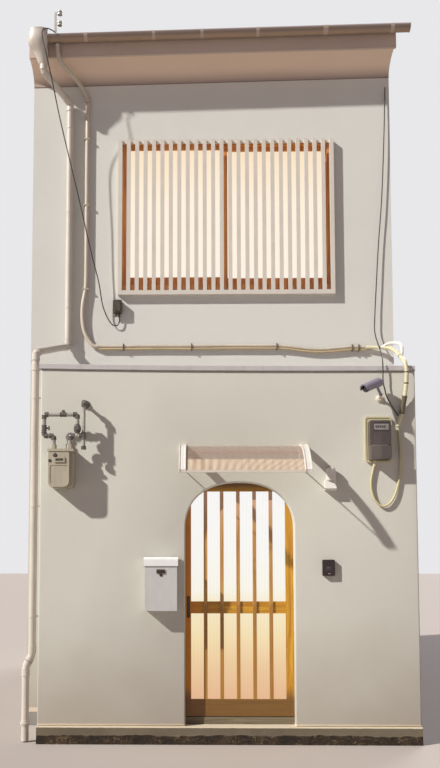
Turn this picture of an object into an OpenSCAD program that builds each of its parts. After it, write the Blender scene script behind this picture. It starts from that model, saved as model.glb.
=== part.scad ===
// Narrow two-storey town house in a row: rendered street wall with an arched doorway,
// upper storey set back behind it, lattice window, plaster cove under the eave.
// Millimetres. +X right, +Y into the house, +Z up. The origin is the centre of the footprint on the ground.

/* [House] */
// Width of the house between its two neighbours
house_w = 3310; // [3200:10:3600]
// Depth of the two-storey block, three ken
main_depth = 5454; // [4500:6:6400]
// How far the street wall stands in front of the upper wall
porch_depth = 730; // [650:10:800]
// Width of the open recess for the rain pipe, left of the street wall
recess_w = 229; // [200:1:260]
// Thickness of the party walls
party_t = 150; // [120:5:180]
// Thickness of the upper front wall and the rear wall
wall_t = 150; // [120:5:180]
// Thickness of the rendered street wall
street_wall_t = 90; // [80:1:110]
// Top of the street wall above the ground
street_wall_top = 3015; // [2960:5:3080]

/* [Base and floors] */
// Height of the stone kerb under the street wall
kerb_h = 140; // [120:5:180]
// How far the kerb stands in front of the street wall
kerb_out = 30; // [15:1:60]
// Height of the raft that carries the walls
raft_h = 120; // [80:5:120]
// Underside of the upper floor
upper_floor_z = 2860; // [2700:10:2900]
// Thickness of the upper floor
upper_floor_t = 90; // [60:5:110]

/* [Doorway] */
// Middle of the doorway, right of the middle of the house
door_x = 210; // [100:1:260]
// Width of the doorway
door_w = 886; // [800:1:920]
// Crown of the arch above the ground
arch_top = 2100; // [2000:5:2140]
// Rise of the arch from its springing to its crown
arch_rise = 385; // [300:5:430]
// Squareness of the arch, 2 is an ellipse
arch_power = 2.3; // [2:0.1:2.8]

/* [Sliding door] */
// Gap between the street wall and the door leaf
leaf_gap = 6; // [5:1:12]
// Thickness of the door leaf
leaf_t = 36; // [33:1:40]
// Width of the stiles
stile_w = 79; // [60:1:90]
// Lap of the leaf behind the left jamb
leaf_lap_left = 32; // [20:1:45]
// Lap of the leaf behind the right jamb
leaf_lap_right = 15; // [10:1:40]
// Underside of the leaf above the ground
leaf_z = 203; // [200:1:210]
// Height of the top rail below the arch crown
top_rail_drop = 68; // [50:1:90]
// Lap of the leaf above the arch crown
leaf_lap_top = 45; // [30:1:60]
// Height of the bottom rail
bottom_rail_h = 136; // [110:1:160]
// Underside of the middle rail
mid_rail_z = 1030; // [900:5:1150]
// Height of the middle rail
mid_rail_h = 98; // [70:1:110]
// Number of upright bars
bar_n = 5; // [3:1:6]
// Width of a bar
bar_w = 30; // [20:1:36]
// Depth of a bar in front of the middle rail
bar_t = 13; // [9:1:14]
// Thickness of the reeded glass
door_glass_t = 5; // [4:1:6]
// How far the door slides open
door_travel = 790; // [700:10:800]

/* [Window] */
// Middle of the window, right of the middle of the house
window_x = 134; // [60:1:180]
// Width of the window opening
window_w = 1930; // [1600:10:1960]
// Underside of the window opening
window_z = 3969; // [3850:1:4050]
// Height of the window opening
window_h = 1380; // [1200:10:1450]
// Width of the members of the window's outer frame
window_frame_w = 24; // [20:1:30]
// Width of a sash's stiles
sash_stile_w = 34; // [30:1:60]
// Height of a sash's top rail
sash_rail_w = 38; // [30:1:50]
// Height of a sash's bottom rail
sash_foot_w = 78; // [50:1:90]
// Thickness of a sash
sash_t = 28; // [24:1:32]

/* [Lattice] */
// How far the lattice reaches past each side of the window opening
lattice_past = 27; // [15:1:40]
// Number of slats between the end boards
slat_n = 24; // [12:1:26]
// Width of a slat
slat_w = 36; // [24:1:40]
// Depth of a slat
slat_t = 24; // [18:1:24]
// How far the lattice stands out from the wall
lattice_out = 52; // [52:1:70]
// Height of the board that carries the slats
lattice_foot_h = 40; // [30:1:50]
// How far that board hangs below the window opening
lattice_drop = 90; // [70:1:110]

/* [Eave and roof] */
// Underside of the roof over the face of the upper wall, in the middle of the house
eave_z = 6317; // [6280:1:6400]
// How much higher the old roof stands at its right end than at its left end
eave_rise = 66; // [0:2:80]
// How far the plaster cove and the fascia reach out from the wall
cove_out = 250; // [200:5:280]
// Underside of the cove on the wall
cove_z = 5908; // [5850:1:5980]
// Underside of the fascia
fascia_z = 6052; // [6000:1:6090]
// Thickness of the fascia
fascia_t = 24; // [18:1:30]
// Overhang of the tiles past the fascia
tile_out = 34; // [20:1:40]
// Rise of the roof for each unit of run
roof_slope = 0.45; // [0.4:0.01:0.5]
// Thickness of the roof boards, measured upright
boards_t = 30; // [24:1:40]
// Thickness of the tiles, measured upright
tile_t = 45; // [40:1:60]
// Height of the ridge above the tiles
ridge_h = 150; // [120:5:180]

/* [Gutter and rain pipe] */
// Height of the gutter
gutter_h = 54; // [50:1:60]
// Width of the gutter
gutter_w = 106; // [100:1:110]
// Fall of the gutter towards the rain pipe, against the eave line
gutter_fall = 4; // [0:1:4]
// Middle of the gutter's underside above the ground
gutter_z = 6157; // [6140:1:6160]
// Outer diameter of the rain pipe
pipe_d = 60; // [50:1:66]

/* [Canopy] */
// Width of the canopy over its brackets
canopy_w = 1030; // [1000:1:1100]
// Reach of the canopy
canopy_out = 390; // [350:5:450]
// Top of the canopy on the wall
canopy_z = 2395; // [2350:5:2450]
// Drop of the canopy from the wall to its front edge
canopy_drop = 232; // [200:2:300]

/* [Mailbox] */
// Width of the mailbox body
mailbox_w = 258; // [240:1:300]
// Height of the mailbox with its lid
mailbox_h = 428; // [400:1:460]
// Depth of the mailbox
mailbox_d = 120; // [100:1:140]
// Thickness of the mailbox sheet
mailbox_t = 2; // [2:0.5:3]

/* [Meters] */
// Width of the gas meter
gas_meter_w = 198; // [190:1:220]
// Height of the gas meter
gas_meter_h = 316; // [290:1:340]
// Depth of the gas meter
gas_meter_d = 165; // [130:1:170]
// Outer diameter of the gas pipe
gas_pipe_d = 34; // [27:1:34]
// Width of the electric meter's board
board_w = 218; // [200:1:240]
// Height of the electric meter's board
board_h = 375; // [350:1:400]
// Depth of the electric meter in front of its board
meter_d = 100; // [80:1:120]

/* [Hidden] */

// The street face, the upper wall's face and the rear face
front_y = -(porch_depth + main_depth) / 2;
upper_y = front_y + porch_depth;
rear_y = upper_y + main_depth;
left_x = -house_w / 2;
right_x = house_w / 2;
room_left_x = left_x + party_t;
room_right_x = right_x - party_t;
street_left_x = left_x + recess_w;
storey_z = upper_floor_z + upper_floor_t;
ridge_y = (upper_y + rear_y) / 2;
ridge_z = eave_z + roof_slope * main_depth / 2;
ledge_rise = 50;
ledge_t = 40;
return_t = 90;
// Length past every piece, for cutting
far = 12000;

// The doorway and the leaf behind it
door_left_x = door_x - door_w / 2;
door_right_x = door_x + door_w / 2;
spring_z = arch_top - arch_rise;
street_back_y = front_y + street_wall_t;
leaf_y = street_back_y + leaf_gap;
leaf_left_x = door_left_x - leaf_lap_left;
leaf_right_x = door_right_x + leaf_lap_right;
leaf_top = arch_top + leaf_lap_top;
leaf_mid_y = leaf_y + leaf_t / 2;
light_left_x = leaf_left_x + stile_w;
light_right_x = leaf_right_x - stile_w;
light_top = arch_top - top_rail_drop;
light_bottom = leaf_z + bottom_rail_h;
glass_y = leaf_y + bar_t + 2;
glass_rebate = 8;
// Running clearance and sizes of the guides above and below the leaf
guide_gap = 6;
guide_w = 8;
guide_h = 12;
guide_spare = 12;
groove_w = guide_w + 2 * guide_gap;
groove_h = guide_h + 2;
guide_left_x = street_left_x + return_t;
guide_right_x = min(room_right_x, leaf_right_x + door_travel + guide_spare);

// The window and its two sashes
window_left_x = window_x - window_w / 2;
window_right_x = window_x + window_w / 2;
window_top = window_z + window_h;
frame_set = 45;
track_edge = 8;
window_frame_d = 2 * sash_t + 3 * track_edge;
pane_t = 4;
sash_w = (window_w - 2 * window_frame_w + sash_stile_w) / 2;

// The lattice
lattice_w = window_w + 2 * lattice_past;
lattice_x = window_left_x - lattice_past;
slat_pitch = (lattice_w - slat_w) / (slat_n + 1);
lattice_bottom = window_z - lattice_drop;
lattice_top = window_top - 8;
lattice_y = upper_y - lattice_out;
lattice_rail_t = 8;
lattice_rail_h = 30;

// The eave line and what hangs from it
eave_lean = atan(eave_rise / house_w);
roof_over = 60;
cove_gap = 0.1;
fascia_past = 15;
gutter_t = 3;
gutter_gap = 6;
gutter_past_right = 125;
gutter_left_x = left_x + 185;
gutter_right_x = right_x + gutter_past_right;
gutter_front = -cove_out - gutter_gap - gutter_w;
gutter_back = -cove_out - gutter_gap;
gutter_mid_x = (gutter_left_x + gutter_right_x) / 2;
gutter_tilt = atan(gutter_fall / (gutter_right_x - gutter_left_x));

// The rain pipe's way down
hopper_w = 182;
hopper_rim = 51;
hopper_h = 291;
spout_h = 12;
socket_h = 44;
socket_t = 5;
hopper_x = gutter_left_x - hopper_w / 2;
hopper_y = upper_y - cove_out - tile_out - 5 - (gutter_w - 6) / 2;
hopper_top = gutter_z + gutter_h + hopper_rim + hopper_x * tan(eave_lean);
hopper_neck = [hopper_x + 40, hopper_y + 61, hopper_top - hopper_h - spout_h];
pipe_x = street_left_x + 118;
pipe_y = upper_y - 45;
low_pipe_x = street_left_x - 56;
low_pipe_y = front_y + 58;
pipe_elbow_z = 5690;
pipe_foot_z = street_wall_top + 385;
pipe_step_z = street_wall_top + 185;
foot_dx = -50;
foot_bend_z = 700;
upper_strap_z = [3750, 4650, 5450];
lower_strap_z = [1000, 1900, 2800];

// The arch as a curve: a superellipse of half the doorway's width and the arch's rise
arch_steps = 28;
function superellipse(a, b, n, t) =
  [sign(cos(t)) * a * pow(abs(cos(t)), 2 / n), b * pow(abs(sin(t)), 2 / n)];
function arch_points() =
  [for (i = [0:arch_steps]) superellipse(door_w / 2, arch_rise, arch_power, 180 * i / arch_steps)];
// Points of a circular arc about a centre
function arc_points(cx, cy, r, a0, a1, n) =
  [for (i = [0:n]) [cx + r * cos(a0 + (a1 - a0) * i / n), cy + r * sin(a0 + (a1 - a0) * i / n)]];
// Outline of a rectangle with rounded corners, one radius below and one above
function rounded(x0, x1, z0, z1, r0, r1, n = 5) = concat(
  arc_points(x1 - r0, z0 + r0, r0, -90, 0, n), arc_points(x1 - r1, z1 - r1, r1, 0, 90, n),
  arc_points(x0 + r1, z1 - r1, r1, 90, 180, n), arc_points(x0 + r0, z0 + r0, r0, 180, 270, n));
function unit(v) = v / norm(v);
// Smooth curve through a list of points, with n steps between two of them
function spline(p, n) = concat(
  [for (i = [0:len(p) - 2], k = [0:n - 1]) let (
      a = p[max(i - 1, 0)], b = p[i], c = p[i + 1], d = p[min(i + 2, len(p) - 1)], t = k / n)
    0.5 * (2 * b + (c - a) * t + (2 * a - 5 * b + 4 * c - d) * t * t
           + (3 * b - a - 3 * c + d) * t * t * t)],
  [p[len(p) - 1]]);

// A box given by its two corners
module block(x0, x1, y0, y1, z0, z1) {
  translate([x0, y0, z0]) cube([x1 - x0, y1 - y0, z1 - z0]);
}

// A section in Y and Z carried along X
module along_x(x0, x1, points) {
  translate([x0, 0, 0]) rotate([90, 0, 90]) linear_extrude(x1 - x0) polygon(points);
}

// A section in X and Z carried along Y
module along_y(y0, y1, points) {
  translate([0, y1, 0]) rotate([90, 0, 0]) linear_extrude(y1 - y0) polygon(points);
}

// A round bar between two points
module rod(p, q, d) {
  v = q - p;
  len = norm(v);
  translate(p) rotate([0, acos(v[2] / len), atan2(v[1], v[0])]) cylinder(h = len, d = d, $fn = 32);
}

// Pipe through a list of points with an elbow at each bend, its sockets a little wider
module piped(points, d, socket_len) {
  last = len(points) - 1;
  for (i = [0:last - 1]) rod(points[i], points[i + 1], d);
  for (i = [1:last - 1]) {
    translate(points[i]) sphere(d = d + 8, $fn = 32);
    for (s = [-1, 1]) {
      v = unit(points[i + s] - points[i]);
      rod(points[i], points[i] + socket_len * v, d + 7);
    }
  }
}

// Flexible cable swept along points; ref is a direction that the cable never follows
module cable(points, d, ref = [0, 1, 0], sides = 10) {
  last = len(points) - 1;
  rings = [for (i = [0:last]) let (
      t = unit(points[min(i + 1, last)] - points[max(i - 1, 0)]),
      u = unit(cross(ref, t)), v = cross(t, u))
    for (k = [0:sides - 1])
      points[i] + d / 2 * (cos(360 * k / sides) * u + sin(360 * k / sides) * v)];
  polyhedron(
    points = rings,
    faces = concat(
      [[for (k = [0:sides - 1]) k]],
      [[for (k = [sides - 1:-1:0]) last * sides + k]],
      [for (i = [0:last - 1], k = [0:sides - 1]) let (n = (k + 1) % sides)
        [i * sides + k, (i + 1) * sides + k, (i + 1) * sides + n, i * sides + n]]),
    convexity = 6);
}

// What stands on the leaning eave line, turned about its middle
module leaning() {
  translate([0, 0, eave_z]) rotate([0, -eave_lean, 0]) translate([0, 0, -eave_z]) children();
}

module leaning_between(x0, x1) {
  intersection() {
    leaning() children();
    block(x0, x1, -far, far, 0, far);
  }
}

// Cuts the walls off under the roof
module under_roof() {
  reach = 1000;
  low = eave_z - roof_slope * reach;
  difference() {
    children();
    leaning() along_x(left_x - reach, right_x + reach, [
      [upper_y - reach, low], [ridge_y, ridge_z], [rear_y + reach, low],
      [rear_y + reach, far], [upper_y - reach, far]
    ]);
  }
}
wall_cut_z = ridge_z + 200;

// The raft under the two-storey block and the strip under the street wall's porch
module foundation() {
  color("gray") block(left_x, right_x, upper_y, rear_y, 0, raft_h);
}

module porch_foundation() {
  color("gray") block(street_left_x, right_x, street_back_y, upper_y, 0, raft_h);
}

// Kerb stone that carries the street wall
module front_kerb() {
  chamfer = 6;
  color("dimgray") along_x(street_left_x, right_x, [
    [front_y - kerb_out, 0], [street_back_y, 0], [street_back_y, kerb_h],
    [front_y - kerb_out + chamfer, kerb_h], [front_y - kerb_out, kerb_h - chamfer]
  ]);
}

// Street wall beside and over the doorway
module street_wall_left() {
  color("white") block(street_left_x, door_left_x, front_y, street_back_y, kerb_h, street_wall_top);
}

module street_wall_right() {
  color("white") block(door_right_x, right_x, front_y, street_back_y, kerb_h, street_wall_top);
}

module street_wall_arch() {
  color("white") difference() {
    block(door_left_x, door_right_x, front_y, street_back_y, spring_z, street_wall_top);
    translate([door_x, 0, spring_z]) along_y(front_y - 1, street_back_y + 1, arch_points());
  }
}

// Sheet roof over the ledge between the street wall and the upper wall, with a drip edge
ledge_nose = 14;
ledge_past = 12;
module ledge_roof() {
  color("lightgray") union() {
    along_x(street_left_x, right_x, [
      [front_y, street_wall_top], [street_back_y, street_wall_top],
      [upper_y, street_wall_top + ledge_rise], [upper_y, street_wall_top + ledge_rise + ledge_t],
      [front_y, street_wall_top + ledge_t]
    ]);
    along_x(street_left_x - ledge_past, right_x, [
      [front_y - ledge_nose, street_wall_top + 4], [front_y, street_wall_top + 4],
      [front_y, street_wall_top + ledge_t], [front_y - ledge_nose, street_wall_top + ledge_t + 6]
    ]);
  }
}

// Return of the street wall along the recess
module recess_return() {
  color("white") along_x(street_left_x, street_left_x + return_t, [
    [street_back_y, raft_h], [upper_y, raft_h], [upper_y, street_wall_top + ledge_rise],
    [street_back_y, street_wall_top]
  ]);
}

// Ground storey wall at the back of the recess
module recess_wall() {
  color("white")
    block(left_x, street_left_x + return_t, upper_y, upper_y + wall_t, raft_h, storey_z);
}

// Timber beam that carries the upper wall over the open ground storey
beam_h = 300;
module ledge_beam() {
  color("sienna") block(street_left_x + return_t, room_right_x, upper_y, upper_y + wall_t,
                        storey_z - beam_h, storey_z);
}

// Upper front wall with the window opening
module upper_wall() {
  color("white") under_roof() difference() {
    block(left_x, right_x, upper_y, upper_y + wall_t, storey_z, wall_cut_z);
    block(window_left_x, window_right_x, upper_y - 1, upper_y + wall_t + 1, window_z, window_top);
  }
}

// Party walls with their gable tops
module party_wall_left() {
  color("lightgray") under_roof()
    block(left_x, room_left_x, upper_y + wall_t, rear_y - wall_t, raft_h, wall_cut_z);
}

module party_wall_right() {
  color("lightgray") under_roof() along_x(room_right_x, right_x, [
    [street_back_y, raft_h], [rear_y - wall_t, raft_h], [rear_y - wall_t, wall_cut_z],
    [upper_y + wall_t, wall_cut_z], [upper_y + wall_t, storey_z],
    [upper_y, storey_z], [upper_y, street_wall_top + ledge_rise],
    [street_back_y, street_wall_top]
  ]);
}

// Rear wall, one node for each storey
rear_window_z = 1100;
rear_window_h = 900;
module rear_wall_lower() {
  color("lightgray") difference() {
    block(left_x, right_x, rear_y - wall_t, rear_y, raft_h, storey_z);
    block(window_left_x, window_right_x, rear_y - wall_t - 1, rear_y + 1,
          rear_window_z, rear_window_z + rear_window_h);
  }
}

module rear_wall_upper() {
  color("lightgray") under_roof() difference() {
    block(left_x, right_x, rear_y - wall_t, rear_y, storey_z, wall_cut_z);
    block(window_left_x, window_right_x, rear_y - wall_t - 1, rear_y + 1, window_z, window_top);
  }
}

// Concrete floor of the ground storey, from the sill to the rear wall
module ground_floor() {
  color("darkgray") translate([0, 0, raft_h]) linear_extrude(kerb_h - raft_h) polygon([
    [street_left_x + return_t, street_back_y], [room_right_x, street_back_y],
    [room_right_x, rear_y - wall_t], [room_left_x, rear_y - wall_t],
    [room_left_x, upper_y + wall_t], [street_left_x + return_t, upper_y + wall_t]
  ]);
}

// Timber upper floor
module upper_floor() {
  color("burlywood") block(room_left_x, room_right_x, upper_y + wall_t, rear_y - wall_t,
                           upper_floor_z, storey_z);
}

// One eave seen from its wall: the wall's face is Y 0 and the street is on the minus side
function roof_under(y) = eave_z + roof_slope * y;

module cove() {
  rise = fascia_z - cove_z;
  run_out = cove_out - fascia_t;
  along_x(left_x - roof_over, right_x + roof_over, concat(
    [for (i = [0:14])
      [-max(run_out * (1 - cos(90 * i / 14)), cove_gap), cove_z + rise * sin(90 * i / 14)]],
    [[-run_out, roof_under(-run_out)], [-cove_gap, roof_under(-cove_gap)]]
  ));
}

module fascia() {
  along_x(left_x - roof_over, right_x + roof_over, [
    [-cove_out, fascia_z], [-cove_out + fascia_t, fascia_z],
    [-cove_out + fascia_t, roof_under(-cove_out + fascia_t)], [-cove_out, roof_under(-cove_out)]
  ]);
}

// Places a front eave piece on both walls
module on_both_eaves() {
  translate([0, upper_y, 0]) children();
  translate([0, rear_y, 0]) mirror([0, 1, 0]) children();
}

module eave_coves() {
  color("white") leaning_between(left_x, right_x) on_both_eaves() cove();
}

module eave_fascias() {
  color("tan") leaning_between(left_x, right_x + fascia_past) on_both_eaves() fascia();
}

// Roof slope: boards out to the fascia and the layer of tiles past it
module roof_slab() {
  tile_edge = cove_out + tile_out;
  along_x(left_x - roof_over, right_x + roof_over, [
    [-cove_out, roof_under(-cove_out)], [main_depth / 2, ridge_z],
    [main_depth / 2, ridge_z + boards_t + tile_t],
    [-tile_edge, roof_under(-tile_edge) + boards_t + tile_t],
    [-tile_edge, roof_under(-tile_edge) + boards_t],
    [-cove_out, roof_under(-cove_out) + boards_t]
  ]);
}

module roof_front() {
  color("dimgray") leaning_between(left_x, right_x) translate([0, upper_y, 0]) roof_slab();
}

module roof_rear() {
  color("dimgray") leaning_between(left_x, right_x)
    translate([0, rear_y, 0]) mirror([0, 1, 0]) roof_slab();
}

// Ridge: courses of flat tiles, each narrower than the one below, under a round cap tile
ridge_half = 130;
ridge_courses = 3;
ridge_step = 14;
cap_r = 52;
function ridge_half_outline(side) = let (
    top = ridge_z + boards_t + tile_t,
    course_h = (ridge_h - cap_r) / ridge_courses)
  concat(
    [[side * ridge_half, top - roof_slope * ridge_half]],
    [for (i = [0:ridge_courses - 1], k = [0, 1])
      [side * (ridge_half - (i + 1) * ridge_step), top + (i + k) * course_h]],
    [for (i = [0:7])
      [side * cap_r * cos(90 * i / 8), top + ridge_h - cap_r + cap_r * sin(90 * i / 8)]]);

module roof_ridge() {
  right = ridge_half_outline(1);
  left = ridge_half_outline(-1);
  top = ridge_z + boards_t + tile_t;
  color("dimgray") leaning_between(left_x, right_x) translate([0, ridge_y, 0])
    along_x(left_x - roof_over, right_x + roof_over, concat(
      [[0, top]], right, [[0, top + ridge_h]], [for (i = [len(left) - 1:-1:0]) left[i]]));
}

// Half-round gutter with closed ends and the strip that hangs it
function gutter_round(inset) = [for (a = [180, 220, 260, 280, 320, 360])
  [(gutter_front + gutter_back) / 2 + (gutter_w / 2 - inset) * cos(a),
   gutter_h + (gutter_h - inset) * sin(a)]];
module gutter() {
  inner = gutter_round(gutter_t);
  translate([gutter_mid_x, 0, gutter_z]) rotate([0, -gutter_tilt, 0])
    translate([-gutter_mid_x, 0, 0]) {
      along_x(gutter_left_x, gutter_right_x, concat(gutter_round(0), [
        for (i = [len(inner) - 1:-1:0]) inner[i]]));
      for (x = [gutter_left_x, gutter_right_x - gutter_t]) along_x(x, x + gutter_t, gutter_round(0));
      block(gutter_left_x, gutter_right_x, gutter_back - 2, gutter_back + gutter_gap - 0.1,
            gutter_h - 14, gutter_h);
    }
}

module gutters() {
  color("tan") leaning() on_both_eaves() gutter();
}

// Solid through a stack of level ovals, each [x, y, z, half width, half depth], from the lowest up
module lofted(ovals, sides = 32) {
  last = len(ovals) - 1;
  polyhedron(
    points = [for (r = ovals, k = [0:sides - 1])
      [r[0] + r[3] * cos(360 * k / sides), r[1] + r[4] * sin(360 * k / sides), r[2]]],
    faces = concat(
      [[for (k = [0:sides - 1]) k]],
      [[for (k = [sides - 1:-1:0]) last * sides + k]],
      [for (i = [0:last - 1], k = [0:sides - 1]) let (n = (k + 1) % sides)
        [i * sides + k, (i + 1) * sides + k, (i + 1) * sides + n, i * sides + n]]),
    convexity = 6);
}

// Rain hopper at the gutter's low end: an oval funnel that leans in towards the wall
module rain_hopper() {
  a = hopper_w / 2;
  b = (gutter_w - 6) / 2;
  spout_z = hopper_top - hopper_rim - gutter_h + 12;
  color("ivory") union() {
    lofted(spline([
      [hopper_x + 40, hopper_y + 61, hopper_top - hopper_h, a - 47, b - 10],
      [hopper_x + 22, hopper_y + 35, hopper_top - 205, a - 27, b - 4],
      [hopper_x - 2, hopper_y + 13, hopper_top - 140, a - 4, b],
      [hopper_x, hopper_y + 2, hopper_top - 85, a, b + 2],
      [hopper_x + 3, hopper_y, hopper_top, a - 3, b]], 3));
    translate(hopper_neck) cylinder(h = spout_h + 1, d = pipe_d + 2 * socket_t, $fn = 48);
    // Spout from the gutter's end
    block(hopper_x + a - 30, gutter_left_x, hopper_y, hopper_y + b - 11, spout_z, spout_z + 36);
  }
}

// Strap round the rain pipe with its stalk to a wall on the +Y side or a post on the +X side
strap_h = 20;
module strap(x, y, z, to_x, to_y) {
  translate([x, y, z]) cylinder(h = strap_h, d = pipe_d + 6, $fn = 48);
  block(x - 6, max(x + 6, to_x), y - 3, max(y + 3, to_y), z + 3, z + strap_h - 3);
}

module downpipe_upper() {
  color("ivory") union() {
    piped([
      hopper_neck, hopper_neck - [0, 0, socket_h + 2],
      [pipe_x, pipe_y, pipe_elbow_z], [pipe_x, pipe_y, pipe_foot_z],
      [low_pipe_x, low_pipe_y, pipe_step_z], [low_pipe_x, low_pipe_y, pipe_step_z - 100]
    ], pipe_d, socket_h);
    for (z = upper_strap_z) strap(pipe_x, pipe_y, z, pipe_x, upper_y);
  }
}

module downpipe_lower() {
  top = pipe_step_z - 100;
  color("ivory") union() {
    piped([
      [low_pipe_x, low_pipe_y, top], [low_pipe_x, low_pipe_y, foot_bend_z],
      [low_pipe_x + foot_dx, low_pipe_y, foot_bend_z - 100], [low_pipe_x + foot_dx, low_pipe_y, 10]
    ], pipe_d, socket_h);
    translate([low_pipe_x, low_pipe_y, top - 60]) cylinder(h = 60, d = pipe_d + 10, $fn = 48);
    translate([low_pipe_x + foot_dx, low_pipe_y, 130]) cylinder(h = 46, d = pipe_d + 10, $fn = 48);
    translate([low_pipe_x + foot_dx, low_pipe_y, 144]) cylinder(h = 12, d = pipe_d + 22, $fn = 48);
    for (z = lower_strap_z) strap(low_pipe_x, low_pipe_y, z, street_left_x, low_pipe_y);
  }
}

// Outer frame of a window, its opening given by its underside and height
module window_ring(y0, z, h) {
  difference() {
    block(window_left_x, window_right_x, y0, y0 + window_frame_d, z, z + h);
    block(window_left_x + window_frame_w, window_right_x - window_frame_w, y0 - 1,
          y0 + window_frame_d + 1, z + window_frame_w, z + h - window_frame_w);
  }
}

// One sash and its pane, by the sash's left edge and front face
module sash(x, y, z, h) {
  difference() {
    block(x, x + sash_w, y, y + sash_t, z, z + h);
    block(x + sash_stile_w, x + sash_w - sash_stile_w, y - 1, y + sash_t + 1,
          z + sash_foot_w, z + h - sash_rail_w);
  }
}

module pane(x, y, z, h) {
  block(x + sash_stile_w, x + sash_w - sash_stile_w, y + (sash_t - pane_t) / 2,
        y + (sash_t + pane_t) / 2, z + sash_foot_w, z + h - sash_rail_w);
}

// Places of the two sashes of a window, the left one in the outer track
sash_left_x = window_left_x + window_frame_w;
sash_right_x = window_right_x - window_frame_w - sash_w;
inner_track = 2 * track_edge + sash_t;

module sash_pair(y0, z, h) {
  sash(sash_left_x, y0 + track_edge, z + window_frame_w, h - 2 * window_frame_w);
  sash(sash_right_x, y0 + inner_track, z + window_frame_w, h - 2 * window_frame_w);
}

module pane_pair(y0, z, h) {
  pane(sash_left_x, y0 + track_edge, z + window_frame_w, h - 2 * window_frame_w);
  pane(sash_right_x, y0 + inner_track, z + window_frame_w, h - 2 * window_frame_w);
}

// The street window's frame stands on a sill board that laps down over the wall's face
sill_out = 12;
sill_drop = 40;
sill_t = 10;
module window_frame() {
  color("sienna") union() {
    window_ring(upper_y + frame_set, window_z, window_h);
    block(window_left_x, window_right_x, upper_y, upper_y + frame_set,
          window_z, window_z + sill_t);
    block(lattice_x + slat_w, lattice_x + lattice_w - slat_w, upper_y - sill_out, upper_y,
          window_z - sill_drop, window_z + sill_t);
  }
}

module window_sashes() {
  color("chocolate") sash_pair(upper_y + frame_set, window_z, window_h);
}

module window_glass() {
  color("lightyellow") pane_pair(upper_y + frame_set, window_z, window_h);
}

// Upright slats of the lattice, nailed to a head rail, standing on the foot board
module window_lattice() {
  color("white") union() {
    for (i = [1:slat_n])
      block(lattice_x + i * slat_pitch, lattice_x + i * slat_pitch + slat_w,
            lattice_y, lattice_y + slat_t, lattice_bottom + lattice_foot_h, lattice_top);
    block(lattice_x + slat_w, lattice_x + lattice_w - slat_w, lattice_y + slat_t,
          lattice_y + slat_t + lattice_rail_t, lattice_top - lattice_rail_h, lattice_top);
  }
}

// Foot board and end boards that hold the lattice off the wall
module lattice_case() {
  color("white") union() {
    block(lattice_x, lattice_x + lattice_w, lattice_y, upper_y,
          lattice_bottom, lattice_bottom + lattice_foot_h);
    for (x = [lattice_x, lattice_x + lattice_w - slat_w])
      block(x, x + slat_w, lattice_y, upper_y, lattice_bottom, lattice_top);
  }
}

// Windows of the rear wall, plain and without a lattice
rear_frame_y = rear_y - frame_set - window_frame_d;
module rear_window_frames() {
  color("sienna") for (w = [[rear_window_z, rear_window_h], [window_z, window_h]]) {
    window_ring(rear_frame_y, w[0], w[1]);
    sash_pair(rear_frame_y, w[0], w[1]);
  }
}

module rear_window_glass() {
  color("lightyellow") for (w = [[rear_window_z, rear_window_h], [window_z, window_h]])
    pane_pair(rear_frame_y, w[0], w[1]);
}

// Stiles and rails of the sliding door, grooved for its guides and rebated for the glass
module door_frame() {
  color("peru") difference() {
    block(leaf_left_x, leaf_right_x, leaf_y, leaf_y + leaf_t, leaf_z, leaf_top);
    block(light_left_x, light_right_x, leaf_y - 1, leaf_y + leaf_t + 1,
          mid_rail_z + mid_rail_h, light_top);
    block(light_left_x, light_right_x, leaf_y - 1, leaf_y + leaf_t + 1, light_bottom, mid_rail_z);
    // The middle rail stands back behind the bars
    block(light_left_x, light_right_x, leaf_y - 1, leaf_y + bar_t, mid_rail_z - 1,
          mid_rail_z + mid_rail_h + 1);
    // Rebates of both panes
    for (z = [[light_bottom, mid_rail_z], [mid_rail_z + mid_rail_h, light_top]])
      block(light_left_x - glass_rebate, light_right_x + glass_rebate, glass_y,
            glass_y + door_glass_t, z[0] - glass_rebate, z[1] + glass_rebate);
    // Guide grooves below and above
    block(leaf_left_x - 1, leaf_right_x + 1, leaf_mid_y - groove_w / 2, leaf_mid_y + groove_w / 2,
          leaf_z - 1, leaf_z + groove_h);
    block(leaf_left_x - 1, leaf_right_x + 1, leaf_mid_y - groove_w / 2, leaf_mid_y + groove_w / 2,
          leaf_top - groove_h, leaf_top + 1);
  }
}

// Upright bars between the bottom rail and the top rail
module door_bars() {
  pitch = (light_right_x - light_left_x + bar_w) / (bar_n + 1);
  color("burlywood") for (i = [1:bar_n]) {
    x = light_left_x - bar_w + i * pitch;
    block(x, x + bar_w, leaf_y, leaf_y + bar_t, light_bottom, light_top);
  }
}

// Reeded glass above and below the middle rail
module door_glass() {
  color("lightyellow") for (z = [[light_bottom, mid_rail_z], [mid_rail_z + mid_rail_h, light_top]])
    block(light_left_x - glass_rebate, light_right_x + glass_rebate, glass_y,
          glass_y + door_glass_t, z[0] - glass_rebate, z[1] + glass_rebate);
}

// Flush pull on the left stile, a dished plate with round ends
pull_w = 26;
pull_h = 180;
pull_z = 993;
pull_t = 3;
pull_rim = 5;
pull_inset = 8;
module door_pull() {
  x = light_left_x - pull_inset - pull_w;
  color("black") difference() {
    along_y(leaf_y - pull_t, leaf_y,
            rounded(x, x + pull_w, pull_z, pull_z + pull_h, pull_w / 2, pull_w / 2));
    along_y(leaf_y - pull_t - 1, leaf_y - 1,
            rounded(x + pull_rim, x + pull_w - pull_rim, pull_z + pull_rim,
                    pull_z + pull_h - pull_rim, pull_w / 2 - pull_rim, pull_w / 2 - pull_rim));
  }
}

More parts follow.
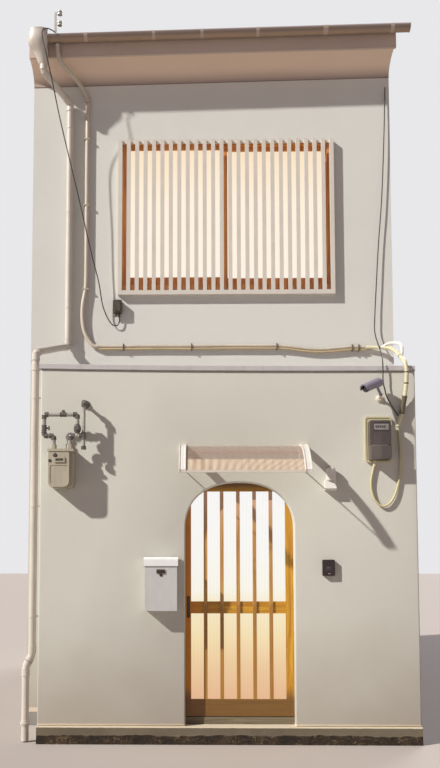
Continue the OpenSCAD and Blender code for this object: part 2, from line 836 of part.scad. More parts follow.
// Sill and head with the guides that the leaf slides on
sill_d = 70;
head_h = 60;
module door_sill() {
  color("saddlebrown") union() {
    block(guide_left_x, room_right_x, street_back_y, street_back_y + sill_d,
          kerb_h, leaf_z - guide_gap);
    block(guide_left_x, guide_right_x, leaf_mid_y - guide_w / 2, leaf_mid_y + guide_w / 2,
          leaf_z - guide_gap, leaf_z - guide_gap + guide_h);
  }
}

module door_head() {
  color("saddlebrown") union() {
    block(guide_left_x, room_right_x, street_back_y, street_back_y + sill_d,
          leaf_top + guide_gap, leaf_top + guide_gap + head_h);
    block(guide_left_x, guide_right_x, leaf_mid_y - guide_w / 2, leaf_mid_y + guide_w / 2,
          leaf_top + guide_gap - guide_h, leaf_top + guide_gap);
  }
}

// Canopy: two moulded brackets with ribs and caps, a rear and a front rail and a curved sheet
canopy_x = door_x + 28;
bracket_w = 54;
bracket_rib = 8;
sheet_t = 4;
rail_d = 22;
rail_h = 18;
canopy_chord = norm([canopy_out, canopy_drop]);
canopy_r = canopy_chord * 0.95;
canopy_left_x = canopy_x - canopy_w / 2;
canopy_right_x = canopy_x + canopy_w / 2;
// Points of the sheet's curve at a distance over its underside, from the wall outwards
function canopy_curve(over, n) = let (
    lean = atan2(canopy_drop, canopy_out),
    half = asin(canopy_chord / 2 / canopy_r),
    mid = [front_y - canopy_out / 2, canopy_z - canopy_drop / 2],
    c = mid + sqrt(canopy_r * canopy_r - pow(canopy_chord / 2, 2)) * [sin(lean), -cos(lean)])
  arc_points(c[0], c[1], canopy_r + over, 90 + lean - half, 90 + lean + half, n);

module canopy_brackets() {
  foot = [[front_y - canopy_out + 6, canopy_z - canopy_drop - rail_h],
          [front_y - canopy_out / 2, canopy_z - canopy_drop + 6],
          [front_y - 30, canopy_z - canopy_drop + 30], [front_y, canopy_z - canopy_drop + 36]];
  keep = [for (p = canopy_curve(10, 18)) [min(p[0], front_y), p[1]]];
  color("whitesmoke") for (side = [0, 1]) {
    x = side == 0 ? canopy_left_x : canopy_right_x - bracket_w;
    union() {
      along_x(x + bracket_rib, x + bracket_w - bracket_rib, concat(keep, foot));
      // Raised ribs along both edges
      for (rib = [x, x + bracket_w - bracket_rib])
        along_x(rib, rib + bracket_rib, concat(
          [for (p = canopy_curve(16, 18)) [min(p[0], front_y), p[1]]], foot));
    }
  }
}

module canopy_rails() {
  x0 = canopy_left_x + bracket_w;
  x1 = canopy_right_x - bracket_w;
  color("silver") {
    block(x0, x1, front_y - rail_d, front_y, canopy_z - 60, canopy_z - 34);
    // The front rail is a channel that takes the sheet's edge
    difference() {
      block(x0, x1, front_y - canopy_out - 8, front_y - canopy_out + 14,
            canopy_z - canopy_drop - rail_h, canopy_z - canopy_drop);
      block(x0 - 1, x1 + 1, front_y - canopy_out - 4, front_y - canopy_out + 10,
            canopy_z - canopy_drop - 14, canopy_z - canopy_drop + 1);
    }
    for (x = [canopy_left_x, canopy_right_x - bracket_w])
      block(x + 10, x + bracket_w + 8, front_y - 16, front_y, canopy_z + 24, canopy_z + 36);
  }
}

module canopy_sheet() {
  x0 = canopy_left_x + bracket_w;
  x1 = canopy_right_x - bracket_w;
  outer = canopy_curve(sheet_t, 22);
  inner = canopy_curve(0, 22);
  color("white") intersection() {
    along_x(x0, x1, concat(outer, [for (i = [22:-1:0]) inner[i]]));
    block(x0, x1, front_y - canopy_out - 3, front_y, canopy_z - canopy_drop - 10, canopy_z + 60);
  }
}

// Mailbox with a lid that lifts on a pin along its back edge
mailbox_x = door_left_x - 193;
mailbox_z = 1064;
lid_h = 72;
lid_gap = 6;
lid_r = 26;
knuckle_d = 8;
pin_d = 4;
pin_play = 0.3;
knuckle_l = 40;
mailbox_x0 = mailbox_x - mailbox_w / 2;
mailbox_x1 = mailbox_x + mailbox_w / 2;
mailbox_top = mailbox_z + mailbox_h;
hinge_y = front_y - mailbox_t - 3 - knuckle_d / 2;
hinge_z = mailbox_top - knuckle_d / 2;

module along_hinge(x0, x1, d) {
  translate([x0, hinge_y, hinge_z]) rotate([0, 90, 0]) cylinder(h = x1 - x0, d = d, $fn = 32);
}

module mailbox_body() {
  top = mailbox_top - mailbox_t - 10;
  color("whitesmoke") union() {
    difference() {
      block(mailbox_x0, mailbox_x1, front_y - mailbox_d, front_y, mailbox_z, top);
      block(mailbox_x0 + mailbox_t, mailbox_x1 - mailbox_t, front_y - mailbox_d + mailbox_t,
            front_y - mailbox_t, mailbox_z + mailbox_t, top + 1);
    }
    block(mailbox_x0, mailbox_x1, front_y - mailbox_t, front_y, top - 1, mailbox_top);
    // Middle knuckle and the pin that carries the lid
    along_hinge(mailbox_x - knuckle_l / 2, mailbox_x + knuckle_l / 2, knuckle_d);
    block(mailbox_x - knuckle_l / 2, mailbox_x + knuckle_l / 2, hinge_y, front_y,
          hinge_z - 1.5, hinge_z + 1.5);
    along_hinge(mailbox_x - knuckle_l * 1.6, mailbox_x + knuckle_l * 1.6, pin_d);
    // Latch under the lid's front edge
    along_y(front_y - mailbox_d - 7, front_y - mailbox_d,
            rounded(mailbox_x - 35, mailbox_x + 34, mailbox_z + 296, mailbox_z + 329, 6, 6));
  }
}

module mailbox_lid() {
  y0 = front_y - mailbox_d - lid_gap - mailbox_t;
  y1 = hinge_y - knuckle_d / 2;
  x0 = mailbox_x0 - lid_gap - mailbox_t;
  x1 = mailbox_x1 + lid_gap + mailbox_t;
  z0 = mailbox_top - lid_h;
  outline = concat([[y1, z0], [y1, mailbox_top]],
                   arc_points(y0 + lid_r, mailbox_top - lid_r, lid_r, 90, 180, 6), [[y0, z0]]);
  color("whitesmoke") difference() {
    union() {
      along_x(x0, x1, outline);
      for (x = [mailbox_x - knuckle_l * 1.6, mailbox_x + knuckle_l * 0.6])
        along_hinge(x, x + knuckle_l, knuckle_d);
      for (x = [mailbox_x - knuckle_l * 1.6, mailbox_x + knuckle_l * 0.6])
        block(x, x + knuckle_l, y1 - 4, hinge_y, mailbox_top - mailbox_t, mailbox_top);
    }
    along_x(x0 + mailbox_t, x1 - mailbox_t, concat(
      [[y1 + 1, z0 - 1], [y1 + 1, mailbox_top - mailbox_t]],
      arc_points(y0 + lid_r, mailbox_top - lid_r, lid_r - mailbox_t, 90, 180, 6),
      [[y0 + mailbox_t, z0 - 1]]));
    along_hinge(x0 - 1, x1 + 1, pin_d + 2 * pin_play);
  }
}

// Door station right of the doorway: a rounded case with a sunk front
station_w = 98;
station_h = 131;
station_d = 34;
station_x = door_right_x + 223;
station_z = 1339;
module intercom() {
  x1 = station_x + station_w;
  z1 = station_z + station_h;
  color("black") difference() {
    along_y(front_y - station_d, front_y, rounded(station_x, x1, station_z, z1, 8, 8));
    along_y(front_y - station_d - 1, front_y - station_d + 2,
            rounded(station_x + 7, x1 - 7, station_z + 7, z1 - 7, 4, 4));
    translate([station_x + station_w / 2, front_y - station_d + 8, z1 - 34]) rotate([90, 0, 0])
      cylinder(h = 12, d = 22, $fn = 32);
  }
}

// Sensor lamp: round head with a ribbed lens over a lamp box
lamp_x = door_right_x + 291;
lamp_z = 2032;
lamp_w = 90;
lamp_box_h = 80;
lamp_box_d = 72;
lamp_head_d = 80;
lamp_head_dx = 6;
lamp_head_h = 106;
module sensor_lamp() {
  head_x = lamp_x + lamp_head_dx;
  head_y = front_y - lamp_head_d / 2;
  top = lamp_z + lamp_box_h;
  color("white") union() {
    along_x(lamp_x - lamp_w / 2, lamp_x + lamp_w / 2, [
      [front_y, lamp_z], [front_y, top], [front_y - lamp_box_d * 0.7, top],
      [front_y - lamp_box_d, lamp_z + 12], [front_y - lamp_box_d + 10, lamp_z]
    ]);
    translate([head_x, head_y, top]) cylinder(h = lamp_head_h - 14, d = lamp_head_d - 6, $fn = 48);
    for (i = [0:2])
      translate([head_x, head_y, top + 8 + i * 20]) cylinder(h = 8, d = lamp_head_d, $fn = 48);
    translate([head_x, head_y, top + lamp_head_h - 14])
      cylinder(h = 14, d1 = lamp_head_d - 6, d2 = lamp_head_d - 26, $fn = 48);
    block(lamp_x - 20, lamp_x + 20, head_y, front_y, top, top + lamp_head_h - 20);
  }
}

// Bullet camera with a sun shield, on a jointed foot
cctv_x = right_x - 296;
cctv_foot_z = 2788;
cctv_d = 62;
cctv_back = [cctv_x - 16, front_y - 85, cctv_foot_z + 116];
cctv_front = [cctv_x - 150, front_y - 200, cctv_foot_z + 44];
module security_camera() {
  axis = unit(cctv_front - cctv_back);
  neck = cctv_back + 45 * axis;
  color("white") union() {
    translate([cctv_x, front_y, cctv_foot_z]) rotate([90, 0, 0]) {
      cylinder(h = 10, d = 62, $fn = 48);
      translate([0, 0, 10]) cylinder(h = 14, d1 = 52, d2 = 34, $fn = 48);
    }
    rod([cctv_x, front_y - 10, cctv_foot_z], [cctv_x, front_y - 60, cctv_foot_z + 22], 22);
    translate([cctv_x, front_y - 60, cctv_foot_z + 22]) sphere(d = 32, $fn = 32);
    rod([cctv_x, front_y - 60, cctv_foot_z + 22], neck, 22);
    rod(cctv_back, cctv_front, cctv_d);
    rod(cctv_back - 8 * axis, cctv_back + 14 * axis, cctv_d + 6);
    // Sun shield over the barrel, longer than it at the front
    difference() {
      translate([0, 0, 5]) rod(cctv_back + 8 * axis, cctv_front + 26 * axis, cctv_d + 12);
      rod(cctv_back - 50 * axis, cctv_front + 60 * axis, cctv_d + 2);
      translate([0, 0, -36]) rod(cctv_back - 50 * axis, cctv_front + 60 * axis, cctv_d + 26);
    }
  }
}

// Meter board with a raised rim
board_x = right_x - 421;
board_z = 2260;
board_t = 20;
board_rim = 12;
module meter_board() {
  x1 = board_x + board_w;
  z1 = board_z + board_h;
  color("beige") difference() {
    along_y(front_y - board_t, front_y, rounded(board_x, x1, board_z, z1, 22, 22));
    along_y(front_y - board_t - 1, front_y - board_t + 4,
            rounded(board_x + board_rim, x1 - board_rim, board_z + board_rim, z1 - board_rim, 14, 14));
  }
}

// Electric meter: case, window hood over the counter and the terminal cover below
meter_w = 168;
meter_h = 318;
cover_h = 112;
cover_out = 10;
module electric_meter() {
  x0 = board_x + 25;
  x1 = x0 + meter_w;
  z0 = board_z + 14;
  z1 = z0 + meter_h;
  back = front_y - board_t + 4;
  front = front_y - board_t - meter_d;
  color("gray") difference() {
    union() {
      along_y(front + 14, back, rounded(x0, x1, z0, z1, 12, 12));
      along_y(front, front + 14, rounded(x0 + 6, x1 - 6, z0 + cover_h + 8, z1 - 6, 10, 10));
      along_y(front - cover_out, front + 14, rounded(x0 + 2, x1 - 2, z0 + 2, z0 + cover_h, 10, 6));
    }
    along_y(front - 1, front + 8,
            rounded(x0 + 26, x1 - 16, z1 - 92, z1 - 20, 5, 5));
  }
}

// Cream cable that hangs in a loop from the meter and rises to its sleeve
loop_d = 19;
loop_route = [
  [76, -15, -3], [68, -16, -40], [46, -17, -144], [47, -18, -226], [69, -20, -299],
  [105, -20, -344], [145, -20, -358], [190, -20, -336], [227, -20, -283], [253, -18, -218],
  [275, -16, -128], [285, -16, -22], [285, -16, 101], [279, -17, 216], [269, -19, 286]
];
module meter_cable() {
  color("beige") translate([board_x, front_y, board_z]) cable(spline(loop_route, 3), loop_d);
}

// Flexible conduit from the upper wall over the ledge to the meter's sleeve, with a hooked pipe
flex_d = 36;
flex_route = [
  [-255, 706, 3386], [-195, 698, 3384], [-130, 672, 3376], [-75, 630, 3362], [-43, 560, 3330],
  [-34, 400, 3251], [-57, 200, 3170], [-87, -20, 3090], [-91, -68, 3044], [-87, -78, 2994],
  [-89, -68, 2899], [-100, -50, 2791], [-114, -32, 2704], [-125, -24, 2627]
];
sleeve_d = 44;
collar_d = 30;
collar_foot = [-153, -20, 2554];
hook_d = 28;
hook_route = [
  [-150, 660, 3366], [-123, 660, 3375], [-68, 620, 3400], [-15, 550, 3386], [8, 480, 3346],
  [0, 420, 3280], [-20, 372, 3222]
];
module meter_conduit() {
  color("wheat") translate([right_x, front_y, 0]) union() {
    cable(spline(flex_route, 3), flex_d, [1, 0, 0.2]);
    rod(flex_route[11], flex_route[12], sleeve_d);
    rod(flex_route[13] + [0, 0, 20], collar_foot, collar_d);
    cable(spline(hook_route, 3), hook_d, [0.4, 0, 1]);
  }
}

// Gas meter: cast case, front cover with its counter frame and sunk panel, two unions on top
gas_x = street_left_x + 90;
gas_z = 2046;
gas_case_d = 125;
gas_band_h = 21;
cover_inset = 18;
union_d = 50;
union_h = 36;
gas_y = front_y - 115;
port_left_x = gas_x + 40;
port_right_x = gas_x + gas_meter_w - 24;
module gas_meter() {
  x1 = gas_x + gas_meter_w;
  z1 = gas_z + gas_meter_h;
  case_y = front_y - gas_case_d;
  color("silver") difference() {
    union() {
      along_y(case_y, front_y - 8, rounded(gas_x, x1, gas_z, z1 - gas_band_h, 42, 8));
      along_y(front_y - gas_meter_d, case_y,
              rounded(gas_x + 6, x1 - cover_inset - 6, gas_z + 6, z1 - 30, 46, 12));
      block(gas_x - 5, x1 + 5, front_y - gas_meter_d + 18, front_y - 6, z1 - gas_band_h, z1);
      for (x = [port_left_x, port_right_x])
        translate([x, gas_y, z1]) cylinder(h = union_h, d = union_d, $fn = 6);
      // Counter frame
      block(gas_x + 56, gas_x + 140, front_y - gas_meter_d - 9, front_y - gas_meter_d,
            z1 - 112, z1 - 72);
    }
    block(gas_x + 66, gas_x + 130, front_y - gas_meter_d - 10, front_y - gas_meter_d - 3,
          z1 - 103, z1 - 81);
    // Sunk field under the counter
    along_y(front_y - gas_meter_d - 1, front_y - gas_meter_d + 4,
            rounded(gas_x + 20, x1 - cover_inset - 22, gas_z + 22, z1 - 136, 34, 6));
  }
}

// Threaded gas pipe: riser from the wall, branch to one union, and the valved loop to the other
riser_x = gas_x + gas_meter_w + 85;
loop_left_x = gas_x - 39;
branch_z = 2470;
loop_top_z = 2644;
valve_x = riser_x - 52;
riser_top_z = 2744;
module gas_pipes() {
  union_top = gas_z + gas_meter_h + union_h;
  fit = gas_pipe_d + 7;
  color("lightgray") union() {
    translate([riser_x, front_y, riser_top_z]) rotate([90, 0, 0]) {
      cylinder(h = 8, d = 70, $fn = 48);
      translate([0, 0, 8]) cylinder(h = 14, d1 = 64, d2 = 44, $fn = 48);
    }
    piped([
      [riser_x, front_y - 8, riser_top_z], [riser_x, gas_y, riser_top_z], [riser_x, gas_y, branch_z - 104]
    ], gas_pipe_d, 26);
    rod([riser_x, gas_y, branch_z - 112], [riser_x, gas_y, branch_z - 84], fit + 3);
    rod([riser_x, gas_y, branch_z - 28], [riser_x, gas_y, branch_z + 28], fit);
    piped([
      [riser_x, gas_y, branch_z], [port_right_x, gas_y, branch_z], [port_right_x, gas_y, union_top]
    ], gas_pipe_d, 26);
    piped([
      [port_left_x, gas_y, union_top], [port_left_x, gas_y, branch_z], [loop_left_x, gas_y, branch_z],
      [loop_left_x, gas_y, loop_top_z], [valve_x, gas_y, loop_top_z], [valve_x, gas_y, branch_z]
    ], gas_pipe_d, 24);
    // Plugged tee on the loop, the valve body, and the small valve with its lever
    rod([loop_left_x + 130, gas_y, loop_top_z], [loop_left_x + 180, gas_y, loop_top_z], fit);
    rod([loop_left_x + 155, gas_y, loop_top_z], [loop_left_x + 155, gas_y, loop_top_z + 36], 30);
    translate([valve_x, gas_y, branch_z + 58]) sphere(d = 62, $fn = 32);
    rod([valve_x, gas_y, branch_z + 58], [valve_x, gas_y - 42, branch_z + 58], 40);
    rod([loop_left_x, gas_y, branch_z + 40], [loop_left_x, gas_y, branch_z + 86], fit + 3);
    rod([loop_left_x, gas_y, branch_z + 63], [loop_left_x + 44, gas_y, branch_z + 63], 16);
    block(loop_left_x + 34, loop_left_x + 46, gas_y - 6, gas_y + 6, branch_z + 46, branch_z + 82);
  }
}

// Conduit up the left of the upper wall, on under the cove to the gutter
conduit_d = 38;
conduit_x = street_left_x + 276;
conduit_strap_z = [3930, 4720, 5350, 5690];
conduit_route = [
  [115, -24, 3406], [90, -24, 3406], [62, -24, 3420], [20, -24, 3475], [-16, -26, 3560],
  [-32, -28, 3680], [-26, -28, 3810], [-6, -26, 3930], [0, -24, 4060], [0, -24, 4600],
  [0, -24, 5200], [0, -24, 5700], [-20, -28, 5790], [-78, -70, 5880], [-150, -160, 5930],
  [-205, -235, 5965], [-236, -278, 6020], [-244, -298, 6118]
];
module wall_conduit() {
  color("ivory") translate([conduit_x, upper_y, 0]) union() {
    cable(spline(conduit_route, 2), conduit_d, [0.5, 1, 0]);
    for (z = conduit_strap_z) block(-30, 30, -46, 0, z, z + 16);
  }
}

// Two cables along the foot of the upper wall, tied together, slack between the last ties
bundle_z = 3406;
bundle_d = [28, 20];
bundle_lead = 120;
bundle_start_x = conduit_x + bundle_lead;
first_tie = 226;
bundle_ties = [[-1838, 0], [-1064, 0], [-381, -14], [-323, -16]];
bundle_slack = [
  [-1064, 0], [-955, -8], [-805, -28], [-695, -36], [-575, -32], [-475, -22], [-381, -14],
  [-264, -18]
];
module strand(y, z, d) {
  slack = spline([for (p = bundle_slack) [right_x + p[0], y, z + p[1]]], 3);
  cable(concat([[bundle_start_x, y, z]], slack), d);
}
module bundle_tie(x, z) {
  block(x - 5, x + 5, upper_y - 46, upper_y, z - 38, z + 21);
}
module cable_run() {
  color("tan") union() {
    strand(upper_y - 24, bundle_z, bundle_d[0]);
    strand(upper_y - 27, bundle_z - 25, bundle_d[1]);
    bundle_tie(bundle_start_x + first_tie, bundle_z);
    for (p = bundle_ties) bundle_tie(right_x + p[0], bundle_z + p[1]);
  }
}

// Junction box under the window with its glands
jbox_x = street_left_x + 526;
jbox_z = bundle_z + 306;
module junction_box() {
  color("dimgray") union() {
    along_y(upper_y - 60, upper_y, rounded(jbox_x, jbox_x + 83, jbox_z, jbox_z + 118, 10, 16));
    for (x = [jbox_x + 22, jbox_x + 58])
      rod([x, upper_y - 30, jbox_z + 1], [x, upper_y - 30, jbox_z - 34], 20);
    block(jbox_x + 14, jbox_x + 69, upper_y - 66, upper_y - 60, jbox_z + 14, jbox_z + 98);
  }
}

// Service wire from the eave down to the junction box, and the wire down the right side
wire_d = 10;
wire_route = [
  [28, 352, 6178], [-10, 340, 6196], [-54, 328, 6202], [-84, 322, 6175], [-86, 318, 6130],
  [-73, 318, 6070], [-42, 330, 5936], [-7, 400, 5763], [69, 496, 5384], [224, 571, 4725],
  [328, 623, 4265], [397, 654, 3990], [430, 676, 3790], [470, 694, 3680], [510, 702, 3616],
  [544, 703, 3596], [571, 702, 3606], [583, 701, 3638], [584, 700, 3676]
];
side_route = [
  [-40, 712, 5840], [-62, 700, 5330], [-92, 698, 4770], [-128, 698, 4350], [-155, 696, 3960],
  [-172, 694, 3700], [-178, 684, 3520], [-152, 630, 3367], [-188, 400, 3271], [-239, 120, 3168],
  [-267, -22, 3096], [-269, -37, 3034], [-270, -40, 2921], [-256, -40, 2851], [-241, -40, 2793],
  [-204, -35, 2724], [-150, -28, 2640]
];
module drop_wires() {
  color("black") {
    translate([street_left_x, front_y, 0]) cable(spline(wire_route, 2), wire_d, [0.3, 1, 0], 8);
    translate([right_x, front_y, 0]) cable(spline(side_route, 2), wire_d, [1, 0.2, 0.1], 8);
  }
}

// Strap on the gutter's left end with two spool insulators
spool_d = 44;
spool_h = 34;
spool_x = gutter_left_x + 72;
module service_bracket() {
  y = upper_y + gutter_front - 1;
  z0 = gutter_z + gutter_h + spool_x * tan(eave_lean) - 14;
  color("whitesmoke") union() {
    block(spool_x - 12, spool_x + 12, y - 5, y, z0, z0 + 206);
    for (z = [z0 + 98, z0 + 197]) {
      translate([spool_x + 12, y - 2.5, z]) rotate([0, 90, 0]) cylinder(h = 22, d = 8, $fn = 24);
      translate([spool_x + 14 + spool_d / 2, y - 2.5, z - spool_h / 2]) {
        cylinder(h = spool_h, d = spool_d - 14, $fn = 32);
        cylinder(h = 11, d = spool_d, $fn = 32);
        translate([0, 0, spool_h - 11]) cylinder(h = 11, d = spool_d, $fn = 32);
      }
    }
  }
}

foundation();
porch_foundation();
front_kerb();
street_wall_left();
street_wall_right();
street_wall_arch();
ledge_roof();
recess_return();
recess_wall();
ledge_beam();
upper_wall();
party_wall_left();
party_wall_right();
rear_wall_lower();
rear_wall_upper();
ground_floor();
upper_floor();
eave_coves();
eave_fascias();
roof_front();
roof_rear();
roof_ridge();
gutters();
rain_hopper();
downpipe_upper();
downpipe_lower();
window_frame();
window_sashes();
window_glass();
window_lattice();
lattice_case();
rear_window_frames();
rear_window_glass();
door_frame();
door_bars();
door_glass();
door_pull();
door_sill();
door_head();
canopy_brackets();
canopy_rails();
canopy_sheet();
mailbox_body();
mailbox_lid();
intercom();
sensor_lamp();
security_camera();
meter_board();
electric_meter();
meter_cable();
meter_conduit();
gas_meter();
gas_pipes();
wall_conduit();
cable_run();
junction_box();
drop_wires();
service_bracket();
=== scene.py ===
# Narrow row house with a rendered street wall, an arched doorway and a lattice window.
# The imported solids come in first; each section below dresses or replaces some of them.
import math

import bmesh
import bpy
import numpy as np
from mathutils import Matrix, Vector


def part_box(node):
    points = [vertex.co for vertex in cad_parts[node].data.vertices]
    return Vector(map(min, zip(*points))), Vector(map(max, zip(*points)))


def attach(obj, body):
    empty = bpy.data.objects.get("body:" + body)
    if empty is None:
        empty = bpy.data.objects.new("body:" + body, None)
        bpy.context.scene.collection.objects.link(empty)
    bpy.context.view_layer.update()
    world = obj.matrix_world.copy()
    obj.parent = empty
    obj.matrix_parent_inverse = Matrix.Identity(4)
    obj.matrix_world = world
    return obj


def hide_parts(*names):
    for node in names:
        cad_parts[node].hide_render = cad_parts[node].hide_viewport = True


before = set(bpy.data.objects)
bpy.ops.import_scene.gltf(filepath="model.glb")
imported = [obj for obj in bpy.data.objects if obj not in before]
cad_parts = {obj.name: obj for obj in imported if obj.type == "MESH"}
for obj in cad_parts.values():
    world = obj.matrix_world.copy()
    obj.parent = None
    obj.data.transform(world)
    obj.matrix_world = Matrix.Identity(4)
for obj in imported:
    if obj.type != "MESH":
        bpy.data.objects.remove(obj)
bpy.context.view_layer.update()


# The camera stands in the street a little left of the middle, at eye height, looking slightly up.
# Its shift keeps the walls upright in the frame.
def stood(name, data):
    """A new object, put in the scene."""
    made = bpy.data.objects.new(name, data)
    bpy.context.scene.collection.objects.link(made)
    return made


view = bpy.data.cameras.new("street_view")
view.lens, view.sensor_width = 40.27, 36.0
view.shift_x, view.shift_y = 0.0508, 0.1397
view.clip_end = 200.0
eye = stood("street_view", view)
eye.location = (-0.145, -10.092, 1.508)
eye.rotation_euler = (math.radians(94.24), 0.0, math.radians(1.0))
bpy.context.scene.camera = eye

# Service wires and the meter's cable: black insulated wire clipped to the eave, and a cream cable
# in a loop under the electric meter. Both are drawn round and bend under their own weight.
FRONT_Y, UPPER_Y = -3.092, -2.362
LEFT_X, RIGHT_X, STREET_LEFT_X = -1.655, 1.655, -1.426


def srgb(red, green, blue):
    """Colour as a screen shows it, from 0 to 255, as Blender's linear values."""
    value = np.array([red, green, blue]) / 255.0
    linear = np.where(value <= 0.04045, value / 12.92, ((value + 0.055) / 1.055) ** 2.4)
    return (*linear.tolist(), 1.0)


def add(tree, kind, settings=(), **inputs):
    """Adds a shader node. An input takes a plain value or another node's output; i0, i1 are by place."""
    made = tree.nodes.new("ShaderNode" + kind)
    for name, value in dict(settings).items():
        setattr(made, name, value)
    for name, value in inputs.items():
        place = made.inputs[int(name[1:])] if name[1:].isdigit() else made.inputs[name.replace("_", " ")]
        if isinstance(value, bpy.types.NodeSocket):
            tree.links.new(value, place)
        else:
            place.default_value = value
    return made


def maths(tree, how, *terms):
    """What a Math node makes of its terms."""
    return add(tree, "Math", {"operation": how}, **{f"i{n}": term for n, term in enumerate(terms)}).outputs[0]


def noise(tree, place, scale, detail, **more):
    """Clouds over a place, from 0 to 1."""
    return add(tree, "TexNoise", Vector=place, Scale=scale, Detail=detail, **more).outputs[0]


def ranged(tree, value, start, end, least=0.0, most=1.0, settings=()):
    """A value from start to end brought to between least and most."""
    return add(tree, "MapRange", settings, Value=value, From_Min=start, From_Max=end, To_Min=least,
               To_Max=most).outputs[0]


def mixed(tree, share, none, full):
    """Two colours mixed by a share of the second."""
    return add(tree, "Mix", {"data_type": "RGBA"}, Factor=share, i6=none, i7=full).outputs[2]


def raised(tree, height, distance, normal, strength=1.0):
    """Relief of that many metres, laid into a normal socket."""
    bump = add(tree, "Bump", Height=height, Distance=distance, Strength=strength)
    tree.links.new(bump.outputs[0], normal)


def weathering_group():
    """Colour broken by soft clouds and by streaks that run down, and a height from fine and broad noise."""
    tree = bpy.data.node_groups.new("weathering", "ShaderNodeTree")
    for way, kind, names in (("INPUT", "Color", ["Colour", "Stain"]),
                             ("INPUT", "Float", ["Amount", "Scale", "Grit", "Runs"]),
                             ("OUTPUT", "Color", ["Colour"]), ("OUTPUT", "Float", ["Height"])):
        for name in names:
            tree.interface.new_socket(name=name, in_out=way, socket_type="NodeSocket" + kind)
    given, out = tree.nodes.new("NodeGroupInput").outputs, tree.nodes.new("NodeGroupOutput").inputs
    place = add(tree, "TexCoord").outputs["Object"]
    clouds = noise(tree, place, given["Scale"], 5.0, Roughness=0.6)
    falling = add(tree, "Mapping", Vector=place, Scale=(9.0, 9.0, 0.5)).outputs[0]
    streaks = noise(tree, falling, given["Scale"], 4.0)
    runs = add(tree, "Mix", Factor=given["Runs"], i2=0.5, i3=streaks).outputs[0]
    worn = ranged(tree, maths(tree, "MULTIPLY", clouds, runs), 0.2, 0.42)
    part = maths(tree, "MULTIPLY", worn, given["Amount"])
    fine = noise(tree, place, given["Grit"], 6.0, Roughness=0.65)
    tree.links.new(mixed(tree, part, given["Colour"], given["Stain"]), out["Colour"])
    tree.links.new(maths(tree, "MULTIPLY_ADD", clouds, 1.5, fine), out["Height"])
    return tree


WEATHERING = weathering_group()


def blank(name):
    """A new material, its node tree and its shader's sockets."""
    paint = bpy.data.materials.new(name)
    paint.use_nodes = True
    return paint, paint.node_tree, paint.node_tree.nodes["Principled BSDF"].inputs


def finish(name, colour, stain, amount=0.3, scale=1.5, grit=60.0, relief=0.0004, rough=0.5, runs=0.5,
           **sockets):
    """Paint, plastic or metal: a colour with soft stains, and a relief of that many metres."""
    paint, tree, shader = blank(name)
    worn = add(tree, "Group", {"node_tree": WEATHERING}, Colour=srgb(*colour), Stain=srgb(*stain),
               Amount=amount, Scale=scale, Grit=grit, Runs=runs).outputs
    tree.links.new(worn["Colour"], shader["Base Color"])
    raised(tree, worn["Height"], relief, shader["Normal"])
    for socket, value in dict(sockets, Roughness=rough).items():
        shader[socket.replace("_", " ")].default_value = value
    return paint


def woven(rows, columns, wrap=False):
    """Quads between neighbouring rows and columns of a grid of points; wrap closes the columns."""
    index = np.arange(rows * columns).reshape(rows, columns)
    if wrap:
        index = np.hstack([index, index[:, :1]])
    quads = [index[:-1, :-1], index[:-1, 1:], index[1:, 1:], index[1:, :-1]]
    return np.stack(quads, -1).reshape(-1, 4)


def lofted(rings):
    """A shape, which is its points, quads and end faces: closed rings joined, both ends filled flat."""
    rows, columns = rings.shape[:2]
    last = (rows - 1) * columns
    return rings, woven(rows, columns, True), [np.arange(columns)[::-1], np.arange(columns) + last]


def piece(name, shapes, paint, replaces=(), sharp=35):
    """One object from shapes. Meeting points are merged, and faces shade smoothly where they turn
    by less than sharp degrees."""
    points, faces, count = [], [], 0
    for places, quads, ends in shapes:
        places = np.asarray(places, float).reshape(-1, 3)
        points.append(places)
        faces += (quads + count).tolist() + [(end + count).tolist() for end in ends]
        count += len(places)
    mesh = bpy.data.meshes.new(name)
    mesh.from_pydata(np.vstack(points).tolist(), [], faces)
    work = bmesh.new()
    work.from_mesh(mesh)
    bmesh.ops.remove_doubles(work, verts=work.verts, dist=1e-6)
    bmesh.ops.dissolve_degenerate(work, edges=work.edges, dist=1e-6)
    bmesh.ops.recalc_face_normals(work, faces=work.faces)
    work.to_mesh(mesh)
    work.free()
    mesh.polygons.foreach_set("use_smooth", [True] * len(mesh.polygons))
    mesh.set_sharp_from_angle(angle=math.radians(sharp))
    mesh.materials.append(paint)
    made = stood(name, mesh)
    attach(made, "house")
    if replaces:
        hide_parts(*replaces)
    return made


def unit(vectors):
    """Vectors brought to length 1."""
    return vectors / np.linalg.norm(vectors, axis=-1, keepdims=True)


def tube(path, radius, across=(0, 1, 0), sides=20):
    """A ring about each point of path: point + radius (cos a u + sin a v), where u and v stand
    square to the path and across is never along it."""
    path = np.asarray(path, float)
    along = unit(np.gradient(path, axis=0))
    u = unit(np.cross(across, along))
    turn = np.linspace(0, 2 * np.pi, sides, endpoint=False)[None, :, None]
    ring = np.cos(turn) * u[:, None] + np.sin(turn) * np.cross(along, u)[:, None]
    return lofted(path[:, None] + np.broadcast_to(radius, len(path))[:, None, None] * ring)


def smooth_route(points, steps=8):
    """Smooth curve through points, in steps between two of them: a cubic from each four in a row."""
    p = np.asarray(points, float)
    p = np.vstack([p[:1], p, p[-1:]])
    a, b, c, d = (p[i:len(p) - 3 + i, None] for i in range(4))
    t = (np.arange(steps) / steps)[None, :, None]
    curve = 0.5 * (2 * b + (c - a) * t + (2 * a - 5 * b + 4 * c - d) * t**2 + (3 * b - a - 3 * c + d) * t**3)
    return np.vstack([curve.reshape(-1, p.shape[1]), p[-1:]])


